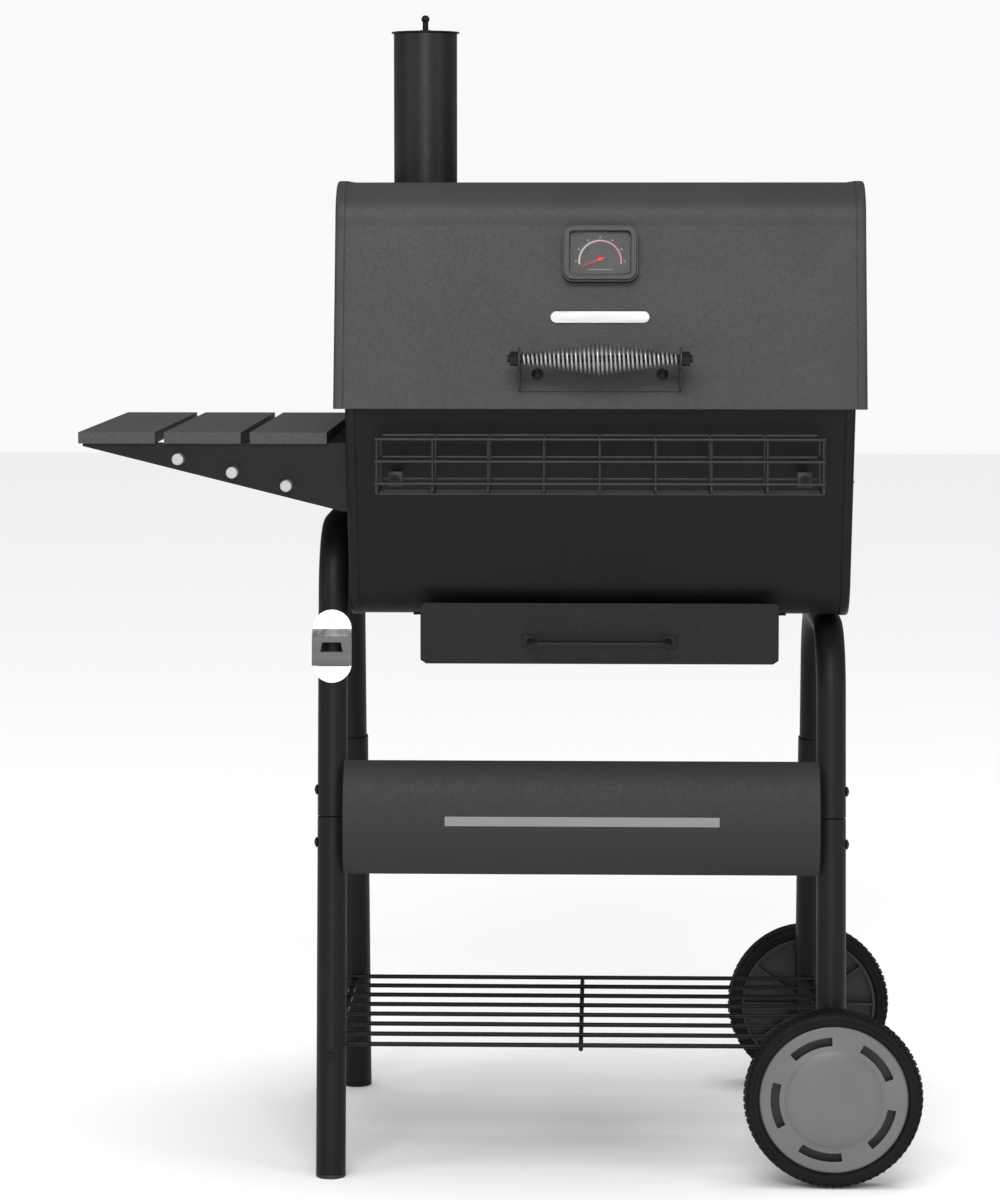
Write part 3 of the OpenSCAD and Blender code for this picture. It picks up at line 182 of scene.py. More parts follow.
def paint(name, shade, roughness, sheen=0.25):
    """Satin stove paint: a fine grain, with slow drifts in gloss and tone."""
    made, tree, shader = start_material(name, (shade, shade, shade), roughness)
    shader.inputs["Specular IOR Level"].default_value = sheen
    tone = ramp(tree, noise(tree, 9.0), 0.0, 1.0)
    tree.links.new(mixed(tree, tone, (shade * 0.9,) * 3, (shade * 1.1, shade * 1.1, shade * 1.08)),
                   shader.inputs["Base Color"])
    gloss = ramp(tree, noise(tree, 240.0, 2.0), roughness - 0.05, roughness + 0.06)
    tree.links.new(gloss, shader.inputs["Roughness"])
    bumped(tree, shader, noise(tree, 900.0, 2.0), 0.12, 0.0006)
    return made


black_paint = paint("black_stove_paint", 0.0062, 0.48, 0.18)


def start_tree(name, sizes):
    """A Geometry Nodes tree with named sizes as inputs: returns the tree and its input node."""
    tree = bpy.data.node_groups.new(name, "GeometryNodeTree")
    tree.interface.new_socket("Geometry", in_out="INPUT", socket_type="NodeSocketGeometry")
    for size, kind in sizes.items():
        tree.interface.new_socket(size, in_out="INPUT", socket_type="NodeSocket" + kind)
    tree.interface.new_socket("Geometry", in_out="OUTPUT", socket_type="NodeSocketGeometry")
    return tree, tree.nodes.new("NodeGroupInput")


def end_tree(tree, geometry, given):
    """Closes a tree with Realize Instances and Set Material."""
    real = add(tree, "GeometryNodeRealizeInstances", {"Geometry": geometry})
    painted = add(tree, "GeometryNodeSetMaterial",
                  {"Geometry": real.outputs[0], "Material": given.outputs["Material"]})
    out = tree.nodes.new("NodeGroupOutput")
    tree.links.new(painted.outputs[0], out.inputs["Geometry"])


def finish_mesh(mesh, sharp=35):
    mesh.shade_smooth()
    mesh.set_sharp_from_angle(angle=radians(sharp))


def grown(name, tree, start, **values):
    """Runs a tree on a starting mesh and returns the result as a plain mesh."""
    holder = bpy.data.objects.new(name, start or bpy.data.meshes.new(name))
    scene.collection.objects.link(holder)
    maker = holder.modifiers.new("grow", "NODES")
    maker.node_group = tree
    wanted = {key.replace("_", " ").lower(): value for key, value in values.items()}
    for item in tree.interface.items_tree:
        if item.in_out == "INPUT" and item.name.lower() in wanted:
            maker[item.identifier] = wanted[item.name.lower()]
    bpy.context.view_layer.update()
    shaped = holder.evaluated_get(bpy.context.evaluated_depsgraph_get())
    made = bpy.data.meshes.new_from_object(shaped)
    bpy.data.objects.remove(holder)
    work = bmesh.new()
    work.from_mesh(made)
    bmesh.ops.remove_doubles(work, verts=work.verts, dist=1e-7)
    bmesh.ops.recalc_face_normals(work, faces=work.faces)
    work.to_mesh(made)
    work.free()
    finish_mesh(made)
    return made


def path_mesh(name, paths):
    """Open paths, each a list of corner points, as a mesh of edges."""
    points, edges = [], []
    for path in paths:
        first = len(points)
        points += [tuple(p) for p in path]
        edges += [(first + i, first + i + 1) for i in range(len(path) - 1)]
    mesh = bpy.data.meshes.new(name)
    mesh.from_pydata(points, edges, [])
    return mesh


# Bar or tube bent along a path: corners rounded to one bend radius, ends closed
bent_bar, given = start_tree("bent_bar", {
    "Bar Radius": "Float", "Bend Radius": "Float", "Bend Steps": "Int", "Sides": "Int",
    "Material": "Material"})
line = add(bent_bar, "GeometryNodeMeshToCurve", {"Mesh": given.outputs["Geometry"]})
bends = add(bent_bar, "GeometryNodeFilletCurve",
            {"Curve": line.outputs[0], "Radius": given.outputs["Bend Radius"],
             "Count": given.outputs["Bend Steps"]}, mode="POLY")
section = add(bent_bar, "GeometryNodeCurvePrimitiveCircle",
              {"Resolution": given.outputs["Sides"], "Radius": given.outputs["Bar Radius"]})
swept = add(bent_bar, "GeometryNodeCurveToMesh",
            {"Curve": bends.outputs[0], "Profile Curve": section.outputs[0], "Fill Caps": True})
end_tree(bent_bar, swept.outputs[0], given)


def bars(name, paths, radius, material, bend=0.0, steps=10, sides=32):
    return grown(name, bent_bar, path_mesh(name, paths), bar_radius=radius, bend_radius=bend,
                 bend_steps=steps, sides=sides, material=material)


def with_bevel(mesh, width, segments=2, angle=35, cutters=()):
    """A copy of the mesh with its sharp edges rounded, after any cutting shapes are taken out.
    Normals are weighed by area, so that flat faces beside the rounded edges shade flat."""
    finish_mesh(mesh)
    holder = bpy.data.objects.new("being_bevelled", mesh)
    scene.collection.objects.link(holder)
    helpers = []
    for cutter in cutters:
        cutter.shade_smooth()
        tool = bpy.data.objects.new("cutter", cutter)
        scene.collection.objects.link(tool)
        helpers.append(tool)
        cut = holder.modifiers.new("cut", "BOOLEAN")
        cut.operation, cut.object, cut.solver = "DIFFERENCE", tool, "EXACT"
    if width:
        soft = holder.modifiers.new("soft", "BEVEL")
        soft.width, soft.segments = width, segments
        soft.limit_method, soft.angle_limit = "ANGLE", radians(angle)
        soft.use_clamp_overlap = True
        holder.modifiers.new("even", "WEIGHTED_NORMAL").keep_sharp = True
    bpy.context.view_layer.update()
    shaped = holder.evaluated_get(bpy.context.evaluated_depsgraph_get())
    made = bpy.data.meshes.new_from_object(shaped)
    for thing in [holder, *helpers]:
        bpy.data.objects.remove(thing)
    if not width:
        finish_mesh(made)
    return made


def new_piece(name, mesh, body, material, *replaced, slot=None):
    """Links a finished mesh as a piece that rides on a body and stands for CAD nodes."""
    if material is not None:
        mesh.materials.clear()
        mesh.materials.append(material)
    piece = bpy.data.objects.new(name, mesh)
    scene.collection.objects.link(piece)
    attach(piece, body)
    if replaced:
        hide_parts(*replaced)
    return piece


def middle_x(node):
    box_low, box_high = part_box(node)
    return (box_low.x + box_high.x) / 2


def leg_y(z, side):
    return MIDDLE_Y + side * (FOOT_Y - z * tan(SPLAY))


left_x = middle_x("left_leg_frame")
right_x = middle_x("right_leg_frame")
for node, x in (("left_leg_frame", left_x), ("right_leg_frame", right_x)):
    bar_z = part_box(node)[1].z - TUBE_R
    path = [(x, leg_y(FRONT_JOINT_Z + 0.0003, -1), FRONT_JOINT_Z + 0.0003), (x, leg_y(bar_z, -1), bar_z),
            (x, leg_y(bar_z, 1), bar_z), (x, leg_y(FRONT_JOINT_Z, 1), FRONT_JOINT_Z)]
    tube = bars(node + "_tube", [path], TUBE_R, black_paint, bend=BEND_R, steps=24, sides=48)
    new_piece(node + "_tube", with_bevel(tube, 0.0006, angle=60), "cart", black_paint, node)

for node, x, side, radius in (
    ("front_left_leg", left_x, -1, TUBE_R), ("rear_left_leg", left_x, 1, REAR_TUBE_R),
    ("front_right_leg", right_x, -1, TUBE_R), ("rear_right_leg", right_x, 1, REAR_TUBE_R),
):
    top = FRONT_JOINT_Z - 0.0003 if side < 0 else REAR_JOINT_Z
    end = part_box(node)[0].z + radius * sin(SPLAY)
    tube = bars(node + "_tube", [[(x, leg_y(end, side), end), (x, leg_y(top, side), top)]],
                radius, black_paint, sides=48)
    new_piece(node + "_tube", with_bevel(tube, 0.0008, angle=60), "cart", black_paint, node)

# ---- Leg caps and bolts ----------------------------------------------------------------------
# Moulded plugs close the four feet, and dome-headed bolts pin the lower legs to the frames.
def moulded(name, shade, roughness, grain=700.0):
    """Moulded plastic with a fine spark-eroded grain."""
    made, tree, shader = start_material(name, (shade,) * 3, roughness)
    spots = noise(tree, grain, 2.0)
    tree.links.new(ramp(tree, spots, roughness - 0.06, roughness + 0.08), shader.inputs["Roughness"])
    drift = ramp(tree, noise(tree, 14.0), 0.0, 1.0)
    tree.links.new(mixed(tree, drift, (shade * 0.93,) * 3, (shade * 1.07,) * 3),
                   shader.inputs["Base Color"])
    bumped(tree, shader, spots, 0.15, 0.0004)
    return made


def softened(node, width, material, body, sharp=35, cutters=()):
    """The CAD node's own shape with its edges rounded over, as stamped or moulded parts are."""
    work = bmesh.new()
    work.from_mesh(nodes[node].data)
    bmesh.ops.remove_doubles(work, verts=work.verts, dist=1e-6)
    bmesh.ops.dissolve_limit(work, angle_limit=radians(0.5), verts=work.verts, edges=work.edges)
    mesh = bpy.data.meshes.new(node + "_soft")
    work.to_mesh(mesh)
    work.free()
    return new_piece(node + "_finished", with_bevel(mesh, width, angle=sharp, cutters=cutters), body,
                     material, node)


black_plastic = moulded("black_plastic", 0.009, 0.5)
softened("leg_caps", 0.0006, black_plastic, "cart")
softened("leg_bolts", 0.0002, black_paint, "cart", sharp=50)

# ---- Front panel and rear brace --------------------------------------------------------------
# A bowed sheet-steel panel between the front legs, with a plain pale stripe printed along
# it, and a folded channel between the rear legs.
def mesh_from(name, points, faces, recalc=True):
    mesh = bpy.data.meshes.new(name)
    mesh.from_pydata([tuple(p) for p in points], [], faces)
    work = bmesh.new()
    work.from_mesh(mesh)
    bmesh.ops.remove_doubles(work, verts=work.verts, dist=1e-7)
    if recalc:
        bmesh.ops.recalc_face_normals(work, faces=work.faces)
    work.to_mesh(mesh)
    work.free()
    return mesh


def loft(name, rings, caps=True, around=False):
    """Skins rings of equal length; around joins the last ring to the first."""
    count = len(rings[0])
    points = [p for ring in rings for p in ring]
    faces = []
    steps = len(rings) if around else len(rings) - 1
    for i in range(steps):
        a, b = i * count, ((i + 1) % len(rings)) * count
        for j in range(count):
            k = (j + 1) % count
            faces.append((a + j, a + k, b + k, b + j))
    if caps and not around:
        faces.append(tuple(range(count)))
        faces.append(tuple(range(len(points) - count, len(points))))
    return mesh_from(name, points, faces)


PANEL_BULGE = 0.020
PANEL_SHEET = 0.0016
low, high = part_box("front_panel")
panel_z = (low.z + high.z) / 2
panel_chord = (high.z - low.z) / cos(SPLAY)
panel_r = (panel_chord ** 2 / 4 + PANEL_BULGE ** 2) / (2 * PANEL_BULGE)
panel_a = asin(panel_chord / 2 / panel_r)


def panel_point(x, angle, radius):
    out = panel_r - PANEL_BULGE - radius * cos(angle)
    up = radius * sin(angle)
    y = out - (TUBE_R - 0.0045)
    return (x, leg_y(panel_z, -1) + y * cos(SPLAY) + up * sin(SPLAY),
            panel_z - y * sin(SPLAY) + up * cos(SPLAY))


rings = []
for x in (low.x, high.x):
    turn = [panel_a * (i / 20 - 1) for i in range(41)]
    rings.append([panel_point(x, a, panel_r) for a in turn]
                 + [panel_point(x, a, panel_r - PANEL_SHEET) for a in reversed(turn)])
panel_mesh = loft("front_panel_sheet", rings)


def worked_out(tree, operation, *values):
    """A Math node on sockets and constants: returns its result."""
    return add(tree, "ShaderNodeMath", dict(enumerate(values)), operation=operation).outputs[0]


STRIPE_HALF_L, STRIPE_HALF_H = 0.146, 0.005
STRIPE_TO_LEFT = 0.018
# The panel's own paint is lighter than the black of the legs, standing in for the lamp's light on it:
# painted light. The pale stripe is print.
PANEL_LIT_SHADE, STRIPE_SHADE = 0.020, 0.20
lit_panel_paint_with_stripe, tree, shader = start_material("striped_panel_paint_painted_light", (PANEL_LIT_SHADE,) * 3, 0.48)
shader.inputs["Specular IOR Level"].default_value = 0.2
place = add(tree, "ShaderNodeSeparateXYZ", {"Vector": own_position(tree)})
facing = add(tree, "ShaderNodeSeparateXYZ", {"Vector": add(tree, "ShaderNodeTexCoord").outputs["Normal"]})
in_length = worked_out(tree, "COMPARE", place.outputs["X"], MIDDLE_X - STRIPE_TO_LEFT, STRIPE_HALF_L)
in_height = worked_out(tree, "COMPARE", place.outputs["Z"], panel_z, STRIPE_HALF_H)
on_front = worked_out(tree, "LESS_THAN", facing.outputs["Y"], 0.0)
stripe = worked_out(tree, "MULTIPLY", worked_out(tree, "MULTIPLY", in_length, in_height), on_front)
printed = mixed(tree, stripe, (PANEL_LIT_SHADE,) * 3, (STRIPE_SHADE,) * 3)
tree.links.new(printed, shader.inputs["Base Color"])
tree.links.new(ramp(tree, noise(tree, 240.0, 2.0), 0.43, 0.54), shader.inputs["Roughness"])
bumped(tree, shader, noise(tree, 900.0, 2.0), 0.12, 0.0006)
new_piece("front_panel_sheet", with_bevel(panel_mesh, 0.0005), "cart", lit_panel_paint_with_stripe, "front_panel")
softened("rear_brace", 0.0008, black_paint, "cart")

# ---- Lower wire rack -------------------------------------------------------------------------
# Eight steel wires laid across two round side bars, with one cross wire welded below.
def joined(name, *meshes):
    work = bmesh.new()
    for mesh in meshes:
        work.from_mesh(mesh)
    made = bpy.data.meshes.new(name)
    work.to_mesh(made)
    work.free()
    if "custom_normal" in made.attributes:
        made.attributes.remove(made.attributes["custom_normal"])
    return made


RACK_WIRES = 8
RACK_WIRE_R = 0.0025
RACK_BAR_R = 0.004
RACK_OVERHANG, RACK_CROSS_DROP = 0.0018, 0.0044
low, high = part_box("bottom_rack")
wire_z = high.z - RACK_WIRE_R
bar_z = low.z + RACK_BAR_R
first_y, last_y = low.y + RACK_OVERHANG, high.y - RACK_OVERHANG
step_y = (last_y - first_y) / (RACK_WIRES - 1)
wires = [[(x, first_y + i * step_y, wire_z) for x in (low.x, high.x)] for i in range(RACK_WIRES)]
cross_x = (left_x + right_x) / 2
wires.append([(cross_x, y, wire_z - RACK_CROSS_DROP) for y in (first_y, last_y)])
side_bars = [[(x, low.y, bar_z), (x, high.y, bar_z)] for x in (left_x, right_x)]
rack = joined("rack_wires", bars("rack_wires", wires, RACK_WIRE_R, black_paint, sides=16),
              bars("rack_bars", side_bars, RACK_BAR_R, black_paint, sides=20))
finish_mesh(rack, 50)
new_piece("rack_wires", with_bevel(rack, 0.0004, angle=60), "cart", black_paint, "bottom_rack")

# ---- Axle ------------------------------------------------------------------------------------
# A plain zinc-plated steel rod through the feet of both right legs, held by plated nuts.
def brushed_metal(name, shade, roughness, stretch=(1, 1, 1)):
    """Bright steel with faint marks drawn out along one direction."""
    made, tree, shader = start_material(name, (shade, shade, shade * 1.01), roughness, 1.0)
    lined = add(tree, "ShaderNodeMapping", {"Vector": own_position(tree), "Scale": stretch})
    marks = add(tree, "ShaderNodeTexNoise",
                {"Vector": lined.outputs["Vector"], "Scale": 160.0, "Detail": 4.0}).outputs["Fac"]
    tree.links.new(ramp(tree, marks, roughness - 0.08, roughness + 0.12), shader.inputs["Roughness"])
    tree.links.new(mixed(tree, ramp(tree, marks, 0.0, 1.0), (shade * 0.86,) * 3, (shade,) * 3),
                   shader.inputs["Base Color"])
    bumped(tree, shader, marks, 0.05, 0.0003)
    return made


zinc = brushed_metal("zinc_steel", 0.62, 0.30)
for node in ("axle", "axle_nuts"):
    softened(node, 0.0003, zinc, "cart", sharp=40)

# ---- Wheels ----------------------------------------------------------------------------------
# Each turns on the axle: a black ribbed rim, a hard tyre with small tread lugs moulded on,
# and a grey slotted disc clipped over the outer face.

WHEEL_STEPS = 144
tyre_rubber, tree, shader = start_material("tyre_rubber", (0.0045,) * 3, 0.60)
shader.inputs["Specular IOR Level"].default_value = 0.14
dust = ramp(tree, noise(tree, 30.0), 0.0, 1.0)
tree.links.new(mixed(tree, dust, (0.003,) * 3, (0.0060, 0.0058, 0.0056)), shader.inputs["Base Color"])
bumped(tree, shader, noise(tree, 500.0, 3.0), 0.25, 0.0006)

hub_grey = moulded("hub_grey", 0.110, 0.40, grain=900.0)

# Rows of one shape set round a circle, each turned to face outwards
ring_of, given = start_tree("ring_of_parts", {"Count": "Int", "Turn": "Float", "Material": "Material"})
points = add(ring_of, "GeometryNodePoints", {"Count": given.outputs["Count"]})
number = add(ring_of, "GeometryNodeInputIndex")
share = worked_out(ring_of, "DIVIDE", number.outputs[0], given.outputs["Count"])
angle = worked_out(ring_of, "MULTIPLY_ADD", share, 2 * pi, given.outputs["Turn"])
turned = add(ring_of, "ShaderNodeCombineXYZ", {"Y": angle})
rotation = add(ring_of, "FunctionNodeEulerToRotation", {"Euler": turned.outputs[0]})
set_round = add(ring_of, "GeometryNodeInstanceOnPoints",
                {"Points": points.outputs[0], "Instance": given.outputs["Geometry"],
                 "Rotation": rotation.outputs[0]})
end_tree(ring_of, set_round.outputs[0], given)


def lathe(name, outline, centre, axis="Y", steps=96):
    """Spins an outline of (radius, distance along the axis) points into a closed solid."""
    rings = []
    for i in range(steps):
        a = 2 * pi * i / steps
        ring = []
        for r, h in outline:
            side = (r * cos(a), h, r * sin(a)) if axis == "Y" else (r * cos(a), r * sin(a), h)
            ring.append(Vector(centre) + Vector(side))
        rings.append(ring)
    return loft(name, rings, around=True)


def block(name, lows, highs):
    x0, y0, z0 = lows
    x1, y1, z1 = highs
    points = [(x, y, z) for x in (x0, x1) for y in (y0, y1) for z in (z0, z1)]
    faces = [(0, 1, 3, 2), (4, 6, 7, 5), (0, 4, 5, 1), (2, 3, 7, 6), (0, 2, 6, 4), (1, 5, 7, 3)]
    return mesh_from(name, points, faces)


def moved(mesh, matrix):
    mesh.transform(matrix)
    return mesh


def wheel_arc(r, h, radius, a0, a1, steps=8):
    return [(r + radius * cos(radians(a0 + (a1 - a0) * i / steps)),
             h + radius * sin(radians(a0 + (a1 - a0) * i / steps))) for i in range(steps + 1)]


LUGS = 72
LUG_H = 0.0016
LUG_ROOT, LUG_TAPER, LUG_DROP = 0.004, 0.7, 0.0022
SHOULDER = 0.007
TYRE_BORE_R = 0.079
FLAT_R = TYRE_BORE_R + 0.006


def tyre_wall(groove_r, side, half):
    """One side of the tyre's section, from its bore out to its tread: (radius, place) points."""
    crest_r = groove_r - SHOULDER
    wall = [(TYRE_BORE_R, side * (half - 0.003)), (TYRE_BORE_R + 0.002, side * (half - 0.0008)),
            (FLAT_R, side * half), (crest_r - 0.0015, side * half),
            (crest_r - 0.0008, side * (half - 0.0006))]
    return wall + wheel_arc(crest_r, side * (half - SHOULDER - 0.0002), SHOULDER, side * 85, side * 5)


def tyre_mesh(centre, wheel_r, half):
    """A lathed carcass with two staggered rows of lugs round its tread."""
    groove_r = wheel_r - LUG_H
    outline = tyre_wall(groove_r, -1, half) + tyre_wall(groove_r, 1, half)[::-1]
    parts = [lathe("tyre_carcass", outline, centre, steps=WHEEL_STEPS)]
    for row, start in ((-1, 0.0), (1, 0.5)):
        lug = block("lug", (wheel_r - LUG_ROOT, row * half * 0.5 - half * 0.44, -0.0017),
                    (wheel_r - 0.0002, row * half * 0.5 + half * 0.38, 0.0017))
        for v in lug.vertices:
            if v.co.x > wheel_r - LUG_ROOT / 2:
                v.co.z *= LUG_TAPER
                if abs(v.co.y) > half * 0.7:
                    v.co.x -= LUG_DROP
        ring = grown("lug_ring", ring_of, lug, count=LUGS, turn=start * 2 * pi / LUGS, material=tyre_rubber)
        parts.append(moved(ring, Matrix.Translation(centre)))
    tyre = joined("tyre", *parts)
    finish_mesh(tyre)
    return tyre


DISC_STEPS = 180
DISC_T = 0.0016
SLOTS, SLOT_SPAN, SLOT_TURN = 5, radians(44), radians(41)
SLOT_IN_R, SLOT_OUT_R = 0.0576, 0.0664


def in_slot(angle):
    """Whether an angle round the disc falls in one of its slots."""
    away = min(abs((angle - SLOT_TURN - k * 2 * pi / SLOTS + pi) % (2 * pi) - pi) for k in range(SLOTS))
    return away < SLOT_SPAN / 2


def hub_disc(centre, disc_r, face, side):
    """A thin disc: a raised middle, a step down to the slotted band and a turned-over edge."""
    section = [(0.0, 0.0008), (0.020, 0.0008), (0.040, 0.0006), (0.0475, 0.0004),
               (0.0500, -0.0003), (0.0515, -0.0013), (0.0535, -DISC_T), (SLOT_IN_R, -DISC_T),
               (SLOT_OUT_R, -DISC_T), (0.0700, -DISC_T), (0.0745, -0.0014), (0.0765, -0.0012),
               (disc_r - 0.0008, -DISC_T), (disc_r, -0.0026)]
    turns = [2 * pi * i / DISC_STEPS for i in range(DISC_STEPS)]
    work = bmesh.new()
    grid = [[work.verts.new((centre.x + r * cos(a), face + side * (h - 0.0008), centre.z + r * sin(a)))
             for a in turns] for r, h in section]
    for j in range(len(grid) - 1):
        for i in range(DISC_STEPS):
            if section[j][0] == SLOT_IN_R and in_slot(2 * pi * (i + 0.5) / DISC_STEPS):
                continue
            k = (i + 1) % DISC_STEPS
            work.faces.new((grid[j][i], grid[j][k], grid[j + 1][k], grid[j + 1][i]))
    bmesh.ops.remove_doubles(work, verts=work.verts, dist=1e-7)
    bmesh.ops.recalc_face_normals(work, faces=work.faces)
    work.faces.ensure_lookup_table()
    if work.faces[0].normal.y * side < 0:
        bmesh.ops.reverse_faces(work, faces=work.faces)
    disc = bpy.data.meshes.new("hub_disc")
    work.to_mesh(disc)
    work.free()
    holder = bpy.data.objects.new("disc_holder", disc)
    scene.collection.objects.link(holder)
    wall = holder.modifiers.new("wall", "SOLIDIFY")
    wall.thickness, wall.offset = DISC_T, -1
    soft = holder.modifiers.new("soft", "BEVEL")
    soft.width, soft.segments, soft.limit_method = 0.0008, 3, "ANGLE"
    soft.angle_limit = radians(50)
    bpy.context.view_layer.update()
    shaped = holder.evaluated_get(bpy.context.evaluated_depsgraph_get())
    made = bpy.data.meshes.new_from_object(shaped)
    bpy.data.objects.remove(holder)
    finish_mesh(made)
    return made


for name, side in (("front", -1), ("rear", 1)):
    low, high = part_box(name + "_tyre")
    centre = (low + high) / 2
    tyre = tyre_mesh(centre, (high.z - low.z) / 2, (high.y - low.y) / 2)
    new_piece(name + "_tyre_rubber", tyre, name + "_wheel", tyre_rubber, name + "_tyre")
    softened(name + "_rim", 0.0005, black_plastic, name + "_wheel", sharp=40)
    low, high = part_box(name + "_hub_cap")
    disc = hub_disc(centre, (high.z - low.z) / 2, high.y if side > 0 else low.y, side)
    new_piece(name + "_hub_disc", disc, name + "_wheel", hub_grey, name + "_hub_cap")

# ---- Firebox ---------------------------------------------------------------------------------
# The lower half of the barrel: one bent sheet between two pressed end plates whose rims
# lap over it, with a slot in its floor above the ash drawer.
# The firebox paint is a darker copy of the black stove paint, standing in for the shade on its down-turned
# front: painted shade.
firebox_shaded_paint = paint("firebox_paint_with_painted_shade", 0.0042, 0.48, 0.15)
SHEET = 0.0016
END_PLATE = 0.002
RIM_W = 0.010
RIM_OUT = 0.0015
RIM_LAP = 0.012
LEAN = radians(17.8)
CORNER_R = 0.050
low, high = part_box("firebox_shell")
floor_z = low.z
split_z = high.z - RIM_LAP
half_d = (high.y - low.y) / 2
half_w = (high.x - low.x) / 2 + END_PLATE


def arc_points(y, z, radius, a0, a1, steps):
    return [(y + radius * cos(radians(a0 + (a1 - a0) * i / steps)),
             z + radius * sin(radians(a0 + (a1 - a0) * i / steps))) for i in range(steps + 1)]


def mirrored(front):
    return front + [(-y, z) for y, z in reversed(front)]


FLAT_STEP = 0.002


def held_flat(before, turn, after_y):
    """A bend with a point close to each end on the flats beside it, so that they shade flat."""
    first, last = Vector(turn[0]), Vector(turn[-1])
    lead = first + (Vector(before) - first).normalized() * FLAT_STEP
    return [tuple(lead)] + turn + [(after_y, last.y)]


def firebox_line(out, top):
    """Front-to-back outline of the firebox, grown outwards, from rim to rim."""
    centre_z = floor_z + CORNER_R
    slant_z = centre_z - CORNER_R * sin(LEAN)
    centre_y = half_d - (split_z - slant_z) * tan(LEAN) - CORNER_R * cos(LEAN)
    front = [(-(half_d + out), top), (-(half_d + out), split_z)]
    turn = arc_points(-centre_y, centre_z, CORNER_R + out, 180 + degrees(LEAN), 270, 20)
    return mirrored(front + held_flat(front[-1], turn, -centre_y + FLAT_STEP))


def at_x(x, line):
    return [(MIDDLE_X + x, MIDDLE_Y + y, z) for y, z in line]


def bent_sheet(name, line_of, half_length, thickness):
    """A sheet of even thickness that follows an outline, from end to end of the barrel."""
    outside, inside = line_of(0.0), line_of(-thickness)
    closed = outside + inside[::-1]
    return loft(name, [at_x(-half_length, closed), at_x(half_length, closed)])


def end_pan(name, line_of, end_x, side):
    """Pressed end plate: a flat face, a rounded edge and a rim that laps over the sheet."""
    rim_start = end_x - RIM_W
    steps = [(0.0002, rim_start), (RIM_OUT - 0.0005, rim_start), (RIM_OUT, rim_start + 0.0006),
             (RIM_OUT, end_x - 0.0032), (RIM_OUT - 0.0003, end_x - 0.0018),
             (RIM_OUT - 0.0012, end_x - 0.0006), (RIM_OUT - 0.0028, end_x), (RIM_OUT - 0.0060, end_x)]
    rings = [at_x(side * x, line_of(out)) for out, x in steps]
    back_x = end_x - END_PLATE
    inner = [(-0.0045, back_x), (-0.0010, back_x - 0.0004), (0.0002, back_x - 0.0014), (0.0002, rim_start)]
    closing = [at_x(side * x, line_of(out)) for out, x in inner]
    outer_part = loft(name + "_outer", rings, caps=False)
    inner_part = loft(name + "_inner", closing, caps=False)
    face = mesh_from(name + "_face", rings[-1], [tuple(range(len(rings[-1])))])
    back = mesh_from(name + "_back", closing[0], [tuple(range(len(closing[0])))])
    pan = joined(name, outer_part, inner_part, face, back)
    work = bmesh.new()
    work.from_mesh(pan)
    bmesh.ops.remove_doubles(work, verts=work.verts, dist=1e-6)
    bmesh.ops.recalc_face_normals(work, faces=work.faces)
    work.to_mesh(pan)
    work.free()
    return pan


def rod_mesh(name, start, end, radius, sides=48):
    start, end = Vector(start), Vector(end)
    turn = (end - start).to_track_quat("Z", "Y").to_matrix()
    rings = [[p + turn @ Vector((radius * cos(2 * pi * i / sides), radius * sin(2 * pi * i / sides), 0))
              for i in range(sides)] for p in (start, end)]
    return loft(name, rings)


shell = bent_sheet("firebox_sheet", lambda out: firebox_line(out, split_z + RIM_LAP),
                   half_w - END_PLATE, SHEET)
ASH_SLOT_HALF_L, ASH_SLOT_HALF_D, CUT = 0.160, 0.095, 0.010
ash_slot = block("ash_slot", (MIDDLE_X - ASH_SLOT_HALF_L, MIDDLE_Y - ASH_SLOT_HALF_D, floor_z - CUT),
                 (MIDDLE_X + ASH_SLOT_HALF_L, MIDDLE_Y + ASH_SLOT_HALF_D, floor_z + CUT))
new_piece("firebox_sheet", with_bevel(shell, 0.0004, cutters=[ash_slot]), "cart", firebox_shaded_paint,
          "firebox_shell")


def end_plate_pan(node, side):
    return end_pan(node + "_pan", lambda out: firebox_line(out, split_z + RIM_LAP - 0.004), half_w, side)


left_pan = with_bevel(end_plate_pan("firebox_left_end", -1), 0)
new_piece("firebox_left_end_pan", left_pan, "cart", firebox_shaded_paint, "firebox_left_end")

# Three holes in the right end plate, and the shouldered rivet on which the shutter turns
VENT_Z = 0.700
VENT_HOLE_R, VENT_RING_R, VENT_HOLES = 0.009, 0.020, 3
RIVET_R, RIVET_HEAD_R = 0.003, 0.0055
end_x = MIDDLE_X + half_w
holes = []
for k in range(VENT_HOLES):
    a = radians(30) + 2 * pi * k / VENT_HOLES
    y, z = MIDDLE_Y + VENT_RING_R * cos(a), VENT_Z + VENT_RING_R * sin(a)
    holes.append(rod_mesh("vent_hole", (end_x - CUT, y, z), (end_x + CUT, y, z), VENT_HOLE_R, 32))
stem = rod_mesh("stem", (end_x - 0.001, MIDDLE_Y, VENT_Z), (end_x + 0.003, MIDDLE_Y, VENT_Z), RIVET_R)
head = rod_mesh("head", (end_x + 0.0022, MIDDLE_Y, VENT_Z), (end_x + 0.004, MIDDLE_Y, VENT_Z), RIVET_HEAD_R)
right_pan = with_bevel(end_plate_pan("firebox_right_end", 1), 0, cutters=holes)
right_pan = joined("firebox_right_end_pan", right_pan, with_bevel(joined("rivet", stem, head), 0.0005))
finish_mesh(right_pan)
new_piece("firebox_right_end_pan", right_pan, "cart", firebox_shaded_paint, "firebox_right_end")
softened("vent_shutter", 0.0004, black_paint, "vent_shutter")
softened("frame_fixings", 0.0004, black_paint, "cart", sharp=50)

